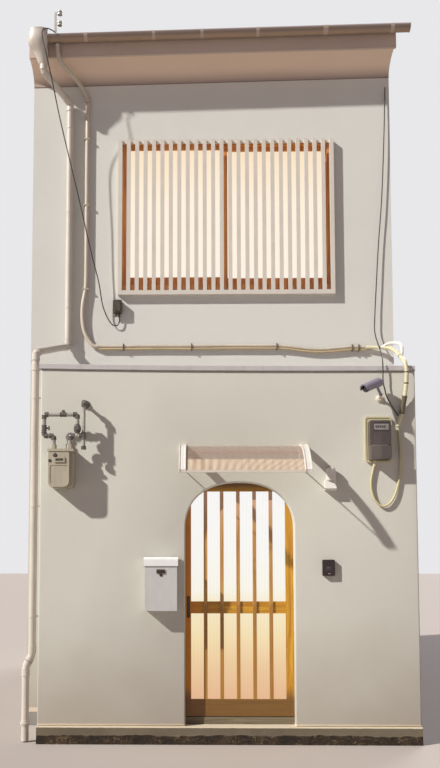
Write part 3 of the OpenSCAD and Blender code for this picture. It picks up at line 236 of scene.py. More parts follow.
WIRE_BLACK = finish("wire_black", (34, 31, 32), (58, 54, 52), rough=0.55, relief=0.0001)
CABLE_CREAM = finish("cable_cream", (196, 186, 144), (150, 136, 98), rough=0.5, relief=0.0001)
WIRE_D, LOOP_D = 0.010, 0.019
for name, node, origin, diameter, paint, slot, across, route in (
    ("service_wire", "drop_wires", (STREET_LEFT_X, FRONT_Y, 0), WIRE_D, WIRE_BLACK, "black_plastic",
     (0.3, 1, 0), [
        (28, 352, 6178), (-10, 340, 6196), (-54, 328, 6202), (-84, 322, 6175), (-86, 318, 6130),
        (-73, 318, 6070), (-42, 330, 5936), (-7, 400, 5763), (69, 496, 5384), (224, 571, 4725),
        (328, 623, 4265), (397, 654, 3990), (430, 676, 3790), (470, 694, 3680), (510, 702, 3616),
        (544, 703, 3596), (571, 702, 3606), (583, 701, 3638), (584, 700, 3676)]),
    ("side_wire", "drop_wires", (RIGHT_X, FRONT_Y, 0), WIRE_D, WIRE_BLACK, "black_plastic", (1, 0.2, 0.1), [
        (-40, 712, 5840), (-62, 700, 5330), (-92, 698, 4770), (-128, 698, 4350), (-155, 696, 3960),
        (-172, 694, 3700), (-178, 684, 3520), (-152, 630, 3367), (-188, 400, 3271), (-239, 120, 3168),
        (-267, -22, 3096), (-269, -37, 3034), (-270, -40, 2921), (-256, -40, 2851), (-241, -40, 2793),
        (-204, -35, 2724), (-150, -28, 2640)]),
    ("meter_loop", "meter_cable", (RIGHT_X - 0.421, FRONT_Y, 2.26), LOOP_D, CABLE_CREAM, "cream_plastic",
     (0, 1, 0), [
        (76, -15, -3), (68, -16, -40), (46, -17, -144), (47, -18, -226), (69, -20, -299),
        (105, -20, -344), (145, -20, -358), (190, -20, -336), (227, -20, -283), (253, -18, -218),
        (275, -16, -128), (285, -16, -22), (285, -16, 101), (279, -17, 216), (269, -19, 286)]),
):
    path = smooth_route(np.array(route) / 1000.0 + np.array(origin))
    cord = piece(name, [tube(path, diameter / 2, across, 12)], paint, [node])


# Raft, floors, beam and the plain outer walls: cast concrete, timber, and cement render on the
# party and rear walls, trowelled flat and darkened by rain.
def dress(paint, *nodes):
    """Gives CAD nodes, whose shape stays, their finish."""
    for node in nodes:
        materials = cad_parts[node].data.materials
        materials.clear()
        materials.append(paint)


CONCRETE = finish("cast_concrete", (150, 147, 141), (112, 108, 102), amount=0.6, relief=0.0012, rough=0.9)
PARTY_RENDER = finish("party_render", (168, 164, 156), (128, 122, 114), amount=0.6, scale=0.8, relief=0.0009,
                      rough=0.92)
dress(CONCRETE, "foundation", "porch_foundation", "ground_floor")
dress(PARTY_RENDER, "party_wall_left", "party_wall_right", "rear_wall_lower", "rear_wall_upper")


def wood(name, colour, dark, flow, rough=0.45, band=None, coat=0.15):
    """Timber with its grain along flow, the axis 0, 1 or 2. Between the two X of band it runs
    along X instead, as in the rails of a leaf whose stiles stand upright."""
    paint, tree, shader = blank(name)
    place = add(tree, "TexCoord").outputs["Object"]
    fibres = []
    for axis in (flow, 0):
        stretch = [46.0, 46.0, 46.0]
        stretch[axis] = 2.2
        laid = add(tree, "Mapping", Vector=place, Scale=stretch).outputs[0]
        fibres.append(noise(tree, laid, 1.0, 7.0, Roughness=0.62, Distortion=0.6))
    grain = fibres[0]
    if band:
        x = add(tree, "SeparateXYZ", Vector=place).outputs[0]
        inside = maths(tree, "COMPARE", x, sum(band) / 2, (band[1] - band[0]) / 2)
        grain = add(tree, "Mix", Factor=inside, i2=fibres[0], i3=fibres[1]).outputs[0]
    lines = ranged(tree, grain, 0.36, 0.66)
    tree.links.new(mixed(tree, lines, srgb(*dark), srgb(*colour)), shader["Base Color"])
    raised(tree, grain, 0.0005, shader["Normal"])
    shader["Roughness"].default_value = rough
    shader["Coat Weight"].default_value = coat
    return paint


dress(wood("beam_timber", (112, 78, 50), (74, 48, 30), 0), "ledge_beam")
dress(wood("floor_boards", (164, 122, 78), (122, 84, 50), 1), "upper_floor")


# Kerb under the street wall: rubble set in mortar below, a smooth band of darker mortar above and
# a pale fillet along its top edge, worn brown by the street.
def opened(paint):
    """A finished paint to build on: its tree, its shader's sockets, its colour so far, Object
    coordinates, and those as X, Y and Z."""
    tree = paint.node_tree
    shader = tree.nodes["Principled BSDF"].inputs
    place = add(tree, "TexCoord").outputs["Object"]
    colour = shader["Base Color"].links[0].from_socket
    return tree, shader, colour, place, add(tree, "SeparateXYZ", Vector=place).outputs


def shaded(paint, axis, start, end, colour, most=1.0, wobble=0.0, scale=3.0, lean=0.0):
    """Mixes another colour in along an axis, less lean times X: none of it at start and the share
    most at end, with an edge that wanders by wobble metres."""
    tree, shader, before, place, axes = opened(paint)
    along = maths(tree, "MULTIPLY_ADD", axes[0], -lean, axes[axis])
    wavy = maths(tree, "MULTIPLY_ADD", noise(tree, place, scale, 5.0), 2 * wobble, along)
    share = ranged(tree, wavy, start + wobble, end + wobble, 0.0, most, {"interpolation_type": "SMOOTHSTEP"})
    tree.links.new(mixed(tree, share, before, srgb(*colour)), shader["Base Color"])
    return paint


def graded(tree, value, stops):
    """Colours that change along a value, each stop its place and colour."""
    made = add(tree, "ValToRGB", Fac=value)
    elements = made.color_ramp.elements
    for element, (at, colour) in zip(elements, (stops[0], stops[-1])):
        element.position, element.color = at, srgb(*colour)
    for at, colour in stops[1:-1]:
        elements.new(at).color = srgb(*colour)
    return made.outputs[0]


def kerb_stone():
    """Smooth mortar above; below a wavy border, lumps of stone and pale mortar, with the gaps between the
    lumps painted dark as shade.
    """
    paint = finish("kerb_stone", (112, 102, 84), (76, 66, 52), amount=0.8, scale=3.0, relief=0.0015,
                   rough=0.95, runs=0.0)
    tree, shader, mortar, place, axes = opened(paint)
    border = maths(tree, "MULTIPLY_ADD", noise(tree, place, 9.0, 4.0), 0.05, axes[2])
    low = ranged(tree, border, 0.104, 0.094)
    flat = add(tree, "Mapping", Vector=place, Scale=(1.0, 1.0, 1.6)).outputs[0]
    fine = noise(tree, flat, 24.0, 6.0, Roughness=0.75, Distortion=1.6)
    lumps = maths(tree, "MULTIPLY_ADD", noise(tree, place, 4.5, 3.0), 0.5, fine)
    lumps = maths(tree, "SUBTRACT", lumps, 0.27)
    # The darkest stop is painted shade in the gaps between the lumps.
    stone = graded(tree, lumps, [(0.40, (32, 23, 15)), (0.56, (72, 56, 38)), (0.72, (160, 140, 106))])
    tree.links.new(mixed(tree, low, mortar, stone), shader["Base Color"])
    raised(tree, maths(tree, "MULTIPLY", lumps, low), 0.02, tree.nodes["Bump"].inputs["Normal"], 0.8)
    return shaded(paint, 2, 0.128, 0.136, (206, 194, 170), 0.9, 0.003, 20.0)


dress(kerb_stone(), "front_kerb")

# Street wall: lime render over boards, steel-trowelled, painted warm white. Its arrises are
# rounded by the trowel, the arch's too. Towards its foot the render is painted darker: painted
# shade, where the light falls off low down.
DOOR_X, DOOR_W, ARCH_TOP, ARCH_RISE, ARCH_POWER = 0.210, 0.886, 2.1, 0.385, 2.3
STREET_TOP, KERB_H, STREET_BACK_Y = 3.015, 0.14, -3.002


def prism(outline, near, far, axis="y", arris=0.0, both=False):
    """An outline carried along an axis from near to far. The near edge, or both, is rounded:
    rings step inwards by arris (1 - sin a) while they advance by arris (1 - cos a)."""
    outline = np.asarray(outline, float)
    before, after = np.roll(outline, 1, 0), np.roll(outline, -1, 0)
    one, two = unit(outline - before), unit(after - outline)
    side = np.sign(np.sum(before[:, 0] * outline[:, 1] - outline[:, 0] * before[:, 1]))
    inward = side * np.stack([-one[:, 1] - two[:, 1], one[:, 0] + two[:, 0]], 1)
    inward /= np.maximum(1.0 + np.sum(one * two, axis=1, keepdims=True), 0.2)
    turn = np.linspace(0, np.pi / 2, 5) if arris else np.array([np.pi / 2])
    inset, ahead = arris * (1 - np.sin(turn)), arris * (1 - np.cos(turn))
    insets = np.concatenate([inset, inset[::-1] if both else [0.0]])
    places = np.concatenate([near + ahead, far - ahead[::-1] if both else [far]])
    flat = outline + insets[:, None, None] * inward
    rings = np.concatenate([flat, np.broadcast_to(places[:, None, None], (*flat.shape[:2], 1))], -1)
    return lofted(rings[..., {"y": [0, 2, 1], "x": [2, 0, 1]}[axis]])


def arch_curve():
    """Superellipse: half width cos(t)^(2/n) across and rise sin(t)^(2/n) up."""
    t = np.linspace(0, np.pi, 65)
    x = np.sign(np.cos(t)) * np.abs(np.cos(t)) ** (2 / ARCH_POWER) * DOOR_W / 2
    z = np.abs(np.sin(t)) ** (2 / ARCH_POWER) * ARCH_RISE
    return np.column_stack([DOOR_X + x, ARCH_TOP - ARCH_RISE + z])


def plaster(name, colour, stain, amount=0.35):
    """Trowelled lime plaster: broad sweeps of the trowel in the relief, and faint clouds."""
    paint = finish(name, colour, stain, amount=amount, scale=0.7, grit=38.0, relief=0.0005, rough=0.88,
                   runs=0.0)
    tree = paint.node_tree
    sweeps = noise(tree, add(tree, "TexCoord").outputs["Object"], 3.2, 2.0, Distortion=1.2)
    raised(tree, sweeps, 0.002, tree.nodes["Bump"].inputs["Normal"], 0.6)
    return paint


def settled(x):
    """The ledge has lifted at its left end: 28 mm times (1 - s)^2.5, s from 0 to 1 along it."""
    return 0.028 * (1 - np.clip((x - STREET_LEFT_X) / (RIGHT_X - STREET_LEFT_X), 0, 1)) ** 2.5


STREET_PLASTER = plaster("street_plaster", (202, 201, 190), (180, 176, 164))
# Painted shade: the render darkens towards its foot.
shaded(STREET_PLASTER, 2, 1.3, -0.2, (158, 146, 132), 0.75, 0.35, 1.6)
shaded(STREET_PLASTER, 2, 0.163, 0.152, (222, 206, 182), 0.8, 0.005, 12.0)
top_x = np.linspace(STREET_LEFT_X, RIGHT_X, 40)
wall_outline = np.vstack([
    [(STREET_LEFT_X, KERB_H)], np.column_stack([top_x, STREET_TOP + settled(top_x)]),
    [(RIGHT_X, KERB_H), (DOOR_X + DOOR_W / 2, KERB_H)], arch_curve(), [(DOOR_X - DOOR_W / 2, KERB_H)]])
piece("street_wall", [prism(wall_outline, FRONT_Y, STREET_BACK_Y, arris=0.012)], STREET_PLASTER,
      ["street_wall_left", "street_wall_right", "street_wall_arch"])
dress(STREET_PLASTER, "recess_return", "recess_wall")

# Ledge over the street wall: folded sheet, painted white, its nose bent down in a drip edge. It
# laps in five lengths, and the old wall under it has lifted at the left.
LEDGE_PAINT = finish("ledge_paint", (191, 187, 186), (158, 150, 146), amount=0.45, scale=2.0, rough=0.5)
LEDGE_NOSE_Y, LEDGE_T, LEDGE_RISE, LEDGE_PAST = FRONT_Y - 0.014, 0.040, 0.050, 0.012


def ledge_shapes():
    """Section of the sheet carried along X, each length lifted a little over the last at its lap."""
    section = np.array([
        (LEDGE_NOSE_Y, 0.004), (LEDGE_NOSE_Y + 0.006, 0.004), (FRONT_Y, 0.010), (FRONT_Y, -0.001),
        (STREET_BACK_Y, -0.001), (UPPER_Y, LEDGE_RISE), (UPPER_Y, LEDGE_RISE + LEDGE_T - 0.001),
        (FRONT_Y, LEDGE_T), (LEDGE_NOSE_Y + 0.004, LEDGE_T + 0.0045), (LEDGE_NOSE_Y, LEDGE_T + 0.001)])
    laps = STREET_LEFT_X + (RIGHT_X - STREET_LEFT_X) * np.array([0, 0.19, 0.40, 0.60, 0.81, 1.0])
    shapes = []
    for start, end in zip(laps[:-1], laps[1:]):
        x = np.concatenate([np.linspace(start, end - 0.012, 10), [end - 0.0119, end]])
        x[0] -= LEDGE_PAST if start == laps[0] else 0.0
        lift = (np.where(np.arange(12) > 9, -0.0008, 0.0) * (end != laps[-1]))[:, None]
        rings = np.empty((12, len(section), 3))
        rings[..., 0] = x[:, None]
        rings[..., 1] = section[:, 0] - lift
        rings[..., 2] = STREET_TOP + settled(x)[:, None] + section[:, 1] + lift
        shapes.append(lofted(rings))
    return shapes


piece("ledge_sheet", ledge_shapes(), LEDGE_PAINT, ["ledge_roof"], 25)

# Upper wall, and the plaster cove that curves out from it to the fascia: one skim of white lime
# plaster, kept out of the rain by the eave.
UPPER_PLASTER = plaster("upper_plaster", (211, 211, 204), (188, 184, 178), amount=0.3)
dress(UPPER_PLASTER, "upper_wall")
EAVE_Z, LEAN, REAR_Y = 6.317, 0.066 / 3.310, 3.092
COVE_OUT, COVE_Z, FASCIA_Z, FASCIA_T = 0.250, 5.908, 6.052, 0.024
SLOPE, DEPTH = 0.45, 5.454


def at_eaves(shapes, rears=(False, True)):
    """Sets shapes, drawn with the wall's face at Y 0, against the front or rear wall or both. The
    old eaves have settled: every height grows by LEAN times X."""
    placed = []
    for rear in rears:
        for points, quads, ends in shapes:
            points = np.array(points, float).reshape(-1, 3)
            points[:, 1] = REAR_Y - points[:, 1] if rear else UPPER_Y + points[:, 1]
            points[:, 2] += points[:, 0] * LEAN
            placed.append((points, quads, ends))
    return placed


def cove_outline():
    """Quarter curve from the wall out to the fascia: out (1 - cos a) and up rise sin a. Its foot
    stands 4 mm off the wall."""
    a = np.linspace(0, np.pi / 2, 40)
    out = COVE_OUT - FASCIA_T
    up = COVE_Z + (FASCIA_Z - COVE_Z) * np.sin(a)
    curve = np.column_stack([-np.maximum(out * (1 - np.cos(a)), 0.004), up])
    return np.vstack([[(0, COVE_Z)], curve, [(-out, EAVE_Z - SLOPE * out), (0, EAVE_Z)]])


COVE_PLASTER = plaster("cove_plaster", (225, 203, 182), (200, 179, 161), amount=0.3)
# Painted light and shade: the cove's own colour is the pale warm top, as if lit from below, and it is painted
# darker towards its foot.
shaded(COVE_PLASTER, 2, 6.02, 5.90, (143, 132, 130), 0.75, 0.02, 0.8, LEAN)
# Painted shade: a thin dark line in the crease along its foot.
shaded(COVE_PLASTER, 2, 5.916, 5.911, (96, 80, 76), 0.7, 0.002, 2.0, LEAN)
piece("plaster_coves", at_eaves([prism(cove_outline(), LEFT_X, RIGHT_X, "x")]), COVE_PLASTER,
      ["eave_coves"], 30)
dress(finish("fascia_paint", (196, 178, 164), (164, 144, 134), amount=0.35, scale=2.5, rough=0.6, runs=0.0),
      "eave_fascias")

# Roof: smoked clay pantiles in courses on boards. Each tile is a shallow trough with a roll at
# one side that laps its neighbour, and each course laps the one below.
BOARDS_T, TILE_OUT, COURSES, COLUMNS = 0.030, 0.034, 13, 13
RIDGE_Z = EAVE_Z + SLOPE * DEPTH / 2


def tile_field():
    """Heights over the boards on a grid of courses by columns: a roll and a trough across each
    tile, rising from the head to the nose of its course, with a step down to the next course."""
    across = np.array([0.0, 0.0, 0.05, 0.1, 0.16, 0.22, 0.29, 0.36, 0.45, 0.56, 0.68, 0.8, 0.92, 1.0])
    roll = np.exp(-((across - 0.13) / 0.1) ** 2) * 0.021 + 0.004 * (1 - across)
    roll[0] = 0.002
    trough = -0.006 * np.sin(np.pi * np.clip((across - 0.2) / 0.8, 0, 1))
    profile = np.tile(roll + trough, COLUMNS)
    x = np.repeat(np.arange(COLUMNS), len(across)) + np.tile(across, COLUMNS)
    x = LEFT_X + (RIGHT_X - LEFT_X) * x / COLUMNS
    run = DEPTH / 2 + COVE_OUT + TILE_OUT
    down = np.repeat(np.arange(COURSES), 3) + np.tile([0.0, 0.0, 0.999], COURSES)
    lift = np.tile([-0.004, 0.014, 0.004], COURSES)
    y = -COVE_OUT - TILE_OUT + run * down / COURSES
    z = np.maximum(profile + lift[:, None], 0.0015)
    z[:, [0, -1]] = 0.0
    z = np.vstack([np.zeros_like(z[:1]), z, np.zeros_like(z[:1])])
    y = np.concatenate([y[:1], y, y[-1:]])[:, None]
    rows, columns = z.shape
    points = np.empty((rows, columns, 3))
    points[..., 0], points[..., 1], points[..., 2] = x, y, EAVE_Z + SLOPE * y + BOARDS_T + z
    rim = np.arange(rows * columns).reshape(rows, columns)
    edge = np.concatenate([rim[0], rim[1:, -1], rim[-1, -2::-1], rim[-2:0:-1, 0]])
    return points, woven(rows, columns), [edge[::-1]]


SMOKED_TILE = finish("smoked_tile", (92, 95, 99), (58, 60, 62), amount=0.7, scale=4.0, relief=0.001,
                     rough=0.42)
eave_z = EAVE_Z - SLOPE * COVE_OUT
boards = prism([(-COVE_OUT, eave_z), (DEPTH / 2, RIDGE_Z), (DEPTH / 2, RIDGE_Z + BOARDS_T),
                (-COVE_OUT, eave_z + BOARDS_T)], LEFT_X, RIGHT_X, "x")
for name, node, rear in (("tiles_front", "roof_front", False), ("tiles_rear", "roof_rear", True)):
    piece(name, at_eaves([tile_field(), boards], [rear]), SMOKED_TILE, [node], 40)

# Ridge: three courses of flat tiles bedded in mortar, each set in from the one below, under round
# cap tiles that overlap every 26 cm.
CAP_R, RIDGE_H = 0.052, 0.150


def ridge_shapes():
    """Courses as slabs with a small overhang, and caps as half rounds that widen to their noses."""
    middle, foot, course = DEPTH / 2, RIDGE_Z + 0.075, (RIDGE_H - CAP_R) / 3
    outlines = [[(-0.130, -0.0585), (-0.116, 0.0), (0.116, 0.0), (0.130, -0.0585), (0.0, -0.002)]]
    for i in range(3):
        half, low, high = 0.116 - 0.014 * i, i * course, (i + 1) * course
        for reach, z0, z1 in ((half, low + 0.003, high - 0.004), (half - 0.012, low, high)):
            outlines.append([(-reach, z0), (-reach, z1), (reach, z1), (reach, z0)])
    shapes = [prism(np.array(outline) + (middle, foot), LEFT_X, RIGHT_X, "x") for outline in outlines]
    pitch = (RIGHT_X - LEFT_X) / 13
    places = LEFT_X + np.repeat(np.arange(13), 3) * pitch + np.tile([0, 0.030, pitch * 0.9999], 13)
    radii = np.tile([CAP_R, CAP_R, CAP_R - 0.008], 13)
    radii[1::3] -= 0.0005
    turn = np.linspace(-0.06, 1.06, 15) * np.pi
    points = np.stack([
        np.broadcast_to(places[:, None], (39, 15)), middle + radii[:, None] * np.cos(turn),
        foot + RIDGE_H - CAP_R + radii[:, None] * np.sin(turn)], -1)
    return shapes + [(points, woven(39, 15), [np.arange(15), np.arange(15)[::-1] + 38 * 15])]


piece("ridge_tiles", at_eaves(ridge_shapes(), [False]), SMOKED_TILE, ["roof_ridge"], 40)

# Gutters: half-round lengths of beige plastic with a lip rolled out of the front edge, slipped
# together in sleeves, capped at both ends and carried by round straps.
GUTTER_PLASTIC = finish("gutter_plastic", (129, 114, 104), (108, 92, 83), amount=0.35, scale=3.0, rough=0.5,
                        runs=0.0)
# Painted light: the lower curve is painted paler and warmer, as if lit from below.
shaded(GUTTER_PLASTIC, 2, 6.190, 6.160, (172, 147, 122), 0.7, 0.004, 2.0, LEAN)
# Painted light: a pale lavender band along the top rim.
shaded(GUTTER_PLASTIC, 2, 6.200, 6.206, (190, 178, 182), 0.8, 0.001, 2.0, LEAN)
GUTTER_W, GUTTER_H, GUTTER_Z, GUTTER_FALL = 0.106, 0.054, 6.157, 0.004
GUTTER_LEFT, GUTTER_RIGHT, GUTTER_FRONT = LEFT_X + 0.185, RIGHT_X + 0.125, -0.362
GUTTER_BACK = GUTTER_FRONT + GUTTER_W


def half_ring(inset):
    """Half round, across cos a and down sin a, that far inside the gutter's outer face."""
    a = np.linspace(np.pi, 2 * np.pi, 33)
    return np.column_stack([GUTTER_FRONT + GUTTER_W / 2 + (GUTTER_W / 2 - inset) * np.cos(a),
                            GUTTER_H + (GUTTER_H - inset) * np.sin(a)])


def half_round(start, end, out, into):
    """A half-round wall between two such rings, carried along X."""
    return prism(np.vstack([half_ring(out), half_ring(into)[::-1]]), start, end, "x")


def rounded(x0, x1, z0, z1, r, steps=6):
    """Outline of a rectangle with round corners."""
    a = np.linspace(0, np.pi / 2, steps)
    corners = ((x1 - r, z0 + r, -np.pi / 2), (x1 - r, z1 - r, 0), (x0 + r, z1 - r, np.pi / 2),
               (x0 + r, z0 + r, np.pi))
    return np.vstack([np.column_stack([x + r * np.cos(a + turn), z + r * np.sin(a + turn)])
                      for x, z, turn in corners])


def gutter_shapes():
    """Trough, end caps, the bead along the front edge, the back lip, and straps with a bar across."""
    left, right = GUTTER_LEFT + 0.001, GUTTER_RIGHT - 0.001
    t = np.linspace(0, 2 * np.pi, 12, endpoint=False)
    bead = np.column_stack([GUTTER_FRONT + 0.0058 + 0.0045 * np.cos(t),
                            GUTTER_H - 0.0046 + 0.0045 * np.sin(t)])
    lip = [(GUTTER_BACK - 0.002, 0.041), (GUTTER_BACK - 0.002, GUTTER_H), (GUTTER_BACK + 0.006, GUTTER_H),
           (GUTTER_BACK + 0.006, 0.041)]
    bar = rounded(GUTTER_FRONT + 0.002, GUTTER_BACK + 0.005, GUTTER_H - 0.005, GUTTER_H - 0.002, 0.001, 3)
    shapes = [half_round(left, right, 0.0018, 0.0045)]
    shapes += [half_round(x, x + 0.012, 0.0, 0.003) for x in (GUTTER_LEFT, GUTTER_RIGHT - 0.012)]
    shapes += [prism(half_ring(0.002), x, x + 0.003, "x", arris=0.001, both=True)
               for x in (left, right - 0.003)]
    shapes += [prism(bead, left, right, "x"), prism(lip, GUTTER_LEFT, GUTTER_RIGHT, "x")]
    for x in np.linspace(GUTTER_LEFT + 0.21, GUTTER_RIGHT - 0.24, 6):
        shapes += [half_round(x - 0.008, x + 0.008, 0.0008, 0.003), prism(bar, x - 0.008, x + 0.008, "x")]
    return shapes


def hung(shapes):
    """Gutter shapes at both eaves, at their height and a little lower at the left end."""
    middle, slope = (GUTTER_LEFT + GUTTER_RIGHT) / 2, GUTTER_FALL / (GUTTER_RIGHT - GUTTER_LEFT)
    up = np.array([0.0, 0.0, 1.0])
    return at_eaves([(points + up * (GUTTER_Z + (points[..., :1] - middle) * slope), quads, ends)
                     for points, quads, ends in shapes])


piece("gutter_run", hung(gutter_shapes()), GUTTER_PLASTIC, ["gutters"], 30)
sleeves = [half_round(joint - half, joint + half, 0.0002, 0.003) for joint, half in (
    (-1.132, 0.016), (-0.520, 0.014), (-0.085, 0.014), (0.416, 0.014), (1.024, 0.022), (1.621, 0.016))]
piece("gutter_sleeves", hung(sleeves), finish("sleeve_beige", (182, 164, 150), (150, 132, 120)),
      sharp=30)

# Rain hopper and pipes: ivory plastic. The hopper is an oval funnel that leans in towards the
# wall and narrows to a socket; the pipe is glued into elbows and held by steel straps.
PIPE_IVORY = finish("pipe_ivory", (204, 196, 184), (158, 148, 136), amount=0.4, scale=3.5, rough=0.42)
HOPPER = np.array([LEFT_X + 0.094, UPPER_Y - 0.339, 6.262 - 1.561 * LEAN])
NECK = HOPPER + (0.040, 0.061, -0.303)
PIPE_R = 0.030


def turned(start, end, stations):
    """Turned on a lathe: rings from start to end, one for each (share of the way, radius)."""
    start, end, stations = (np.asarray(v, float) for v in (start, end, stations))
    along = unit(end - start)
    u = unit(np.cross(along, (0, 0, 1) if abs(along[2]) < 0.9 else (0, 1, 0)))
    turn = np.linspace(0, 2 * np.pi, 28, endpoint=False)[:, None]
    ring = np.cos(turn) * u + np.sin(turn) * np.cross(along, u)
    return lofted((start + stations[:, :1] * (end - start))[:, None] + stations[:, 1, None, None] * ring)


def cornered(p, radius):
    """The route with each corner replaced by a curve that starts and ends radius away from it."""
    t = np.linspace(0, 1, 7)[:, None]
    parts = [p[:1]]
    for a, b, c in zip(p[:-2], p[1:-1], p[2:]):
        start = b + (a - b) * min(radius / np.linalg.norm(a - b), 0.5)
        end = b + (c - b) * min(radius / np.linalg.norm(c - b), 0.5)
        parts.append((1 - t) ** 2 * start + 2 * t * (1 - t) * b + t**2 * end)
    return np.vstack(parts + [p[-1:]])


def socketed(points, radius, bend, reach, swell):
    """A pipe with an elbow at each corner: the run first, then a beaded socket on both arms."""
    p, across, wide = np.array([list(point) for point in points]), (0.6, 1, 0.2), radius + swell
    stations = [(0, radius), (0.02, wide), (0.72, wide), (0.74, wide + 0.0015), (0.98, wide + 0.0015),
                (1, radius)]
    shapes = [tube(cornered(p, bend), radius, across, 28)]
    for corner, near in [(p[i], p[i + s]) for i in range(1, len(p) - 1) for s in (-1, 1)]:
        arm = unit(near - corner)
        elbow = corner + np.outer(np.linspace(bend * 0.15, bend * 0.85, 4), arm)
        shapes += [turned(corner + arm * bend * 0.8, corner + arm * (bend * 0.8 + reach), stations),
                   tube(elbow, wide - 0.0012, across, 28)]
    return shapes


def hopper_shapes():
    """Level ovals, x + a cos t and y + b sin t, smoothed from the socket to the rim and back down
    inside, the spout from the gutter and the socket under them."""
    ovals = np.vstack([smooth_route([
        (0.040, 0.061, -0.291, 0.042, 0.038), (0.022, 0.035, -0.205, 0.062, 0.044),
        (-0.002, 0.013, -0.140, 0.085, 0.048), (0.0, 0.002, -0.085, 0.089, 0.050),
        (0.003, 0.0, -0.012, 0.086, 0.048)]),
        [(0.003, 0, -0.011, 0.0875, 0.0495), (0.003, 0, -0.004, 0.088, 0.050), (0.003, 0, 0, 0.0865, 0.0485),
         (0.003, 0, 0, 0.083, 0.045), (0.003, 0, -0.006, 0.081, 0.043), (0.002, 0.002, -0.09, 0.080, 0.042)]])
    turn = np.linspace(0, 2 * np.pi, 56, endpoint=False)
    x, y, z, a, b = (ovals[:, i, None] for i in range(5))
    funnel = HOPPER + np.stack([x + a * np.cos(turn), y + b * np.sin(turn), z + 0 * turn], -1)
    _, y, z = HOPPER
    spout = prism(rounded(y + 0.001, y + 0.038, z - 0.092, z - 0.058, 0.015), LEFT_X + 0.155,
                  LEFT_X + 0.185, "x")
    socket = turned(NECK, NECK + (0, 0, 0.014), [(0, 0.031), (0.12, 0.035), (1, 0.035)])
    return [lofted(funnel), spout, socket]


def straps(x, y, wall_x, wall_y, heights):
    """Steel bands round an upright pipe, each with its stalk to the wall."""
    band = [(0, PIPE_R), (0.05, 0.0325), (0.95, 0.0325), (1, PIPE_R)]
    return [shape for z in heights for shape in (
        turned((x, y, z), (x, y, z + 0.02), band),
        tube([(x, y, z + 0.01), (wall_x, wall_y, z + 0.01)], 0.005, (0, 0, 1), 10))]


piece("hopper", hopper_shapes(), PIPE_IVORY, ["rain_hopper"])
pipe_x, pipe_y = STREET_LEFT_X + 0.118, UPPER_Y - 0.045
low_x, low_y, step_z = STREET_LEFT_X - 0.056, FRONT_Y + 0.058, STREET_TOP + 0.185
foot_x, lap = low_x - 0.05, (low_x, low_y, step_z - 0.1)
upper_run = socketed([
    NECK, NECK - (0, 0, 0.046), (pipe_x, pipe_y, 5.69), (pipe_x, pipe_y, STREET_TOP + 0.385),
    (low_x, low_y, step_z), lap], PIPE_R, 0.040, 0.040, 0.0035)
lower_run = socketed([lap, (low_x, low_y, 0.70), (foot_x, low_y, 0.60), (foot_x, low_y, 0.01)],
                     PIPE_R, 0.040, 0.040, 0.0035)
coupling = turned((low_x, low_y, step_z - 0.16), lap, [(0, 0.031), (0.05, 0.035), (0.95, 0.035), (1, 0.031)])
shoe = turned((foot_x, low_y, 0.13), (foot_x, low_y, 0.176), [
    (0, 0.031), (0.04, 0.035), (0.28, 0.035), (0.3, 0.041), (0.56, 0.041), (0.6, 0.035), (1, 0.034)])
piece("rain_pipe_upper", upper_run + straps(pipe_x, pipe_y, pipe_x, UPPER_Y, (3.75, 4.65, 5.45)), PIPE_IVORY,
      ["downpipe_upper"])
lower_run += straps(low_x, low_y, STREET_LEFT_X, low_y, (1.0, 1.9, 2.8)) + [coupling, shoe]
piece("rain_pipe_lower", lower_run, PIPE_IVORY, ["downpipe_lower"])

# Upper window: varnished sashes with obscured glass that glows, painted light for the lit room
# behind, and a white painted lattice of upright slats on a foot board in front.
SASH_WOOD = wood("sash_wood", (238, 164, 92), (188, 118, 60), 2)
dress(SASH_WOOD, "window_frame", "window_sashes", "rear_window_frames")
LATTICE_PAINT = finish("lattice_paint", (207, 201, 190), (176, 166, 156), scale=5.0, runs=0.1)
dress(LATTICE_PAINT, "window_lattice", "lattice_case")


def lit_glass(name, stops, strength, low, high, flutes=0.0, drift=0.08):
    """Obscured glass that glows itself, painted light in place of the lit room behind it: a glow whose
    colour changes with height, clouded a little, and upright reeds of that pitch, painted as darker
    bands in the glow and raised in the relief."""
    paint, tree, shader = blank(name)
    place = add(tree, "TexCoord").outputs["Object"]
    axes = add(tree, "SeparateXYZ", Vector=place).outputs
    rise = ranged(tree, axes[2], low, high)
    wavy = maths(tree, "MULTIPLY_ADD", noise(tree, place, 2.4, 3.0), drift * 2, rise)
    glow = graded(tree, maths(tree, "SUBTRACT", wavy, drift), stops)
    if flutes:
        wave = maths(tree, "SINE", maths(tree, "MULTIPLY", axes[0], 2 * math.pi / flutes))
        glow = add(tree, "Mix", {"data_type": "RGBA", "blend_type": "MULTIPLY"}, Factor=1.0, i6=glow,
                   i7=ranged(tree, wave, -1.0, 1.0, 0.86)).outputs[2]
        raised(tree, wave, 0.0008, shader["Normal"])
    tree.links.new(glow, shader["Emission Color"])
    shader["Emission Strength"].default_value = strength
    shader["Base Color"].default_value = srgb(30, 26, 22)
    shader["Roughness"].default_value = 0.35
    return paint


dress(lit_glass("window_glow", [(0, (255, 243, 228)), (0.6, (254, 240, 220)), (1, (250, 226, 192))], 0.98,
                3.97, 5.35), "window_glass", "rear_window_glass")

# Sliding door: cypress stiles and rails, five upright bars in front of reeded glass, varnished
# golden. It hangs on nothing and slides on a tongue in the sill.
DOOR_WOOD = wood("door_wood", (212, 162, 46), (168, 110, 22), 2, rough=0.5, band=(-0.186, 0.589), coat=0.1)
# Painted shade, warmed by the glass's glow: the left stile, shaded by the jamb, takes a redder colour.
shaded(DOOR_WOOD, 0, 0.02, -0.18, (208, 124, 30), 0.72, 0.02, 2.0)
# Darker towards the sill.
shaded(DOOR_WOOD, 2, 0.46, 0.32, (98, 68, 36), 0.85, 0.03, 3.0)
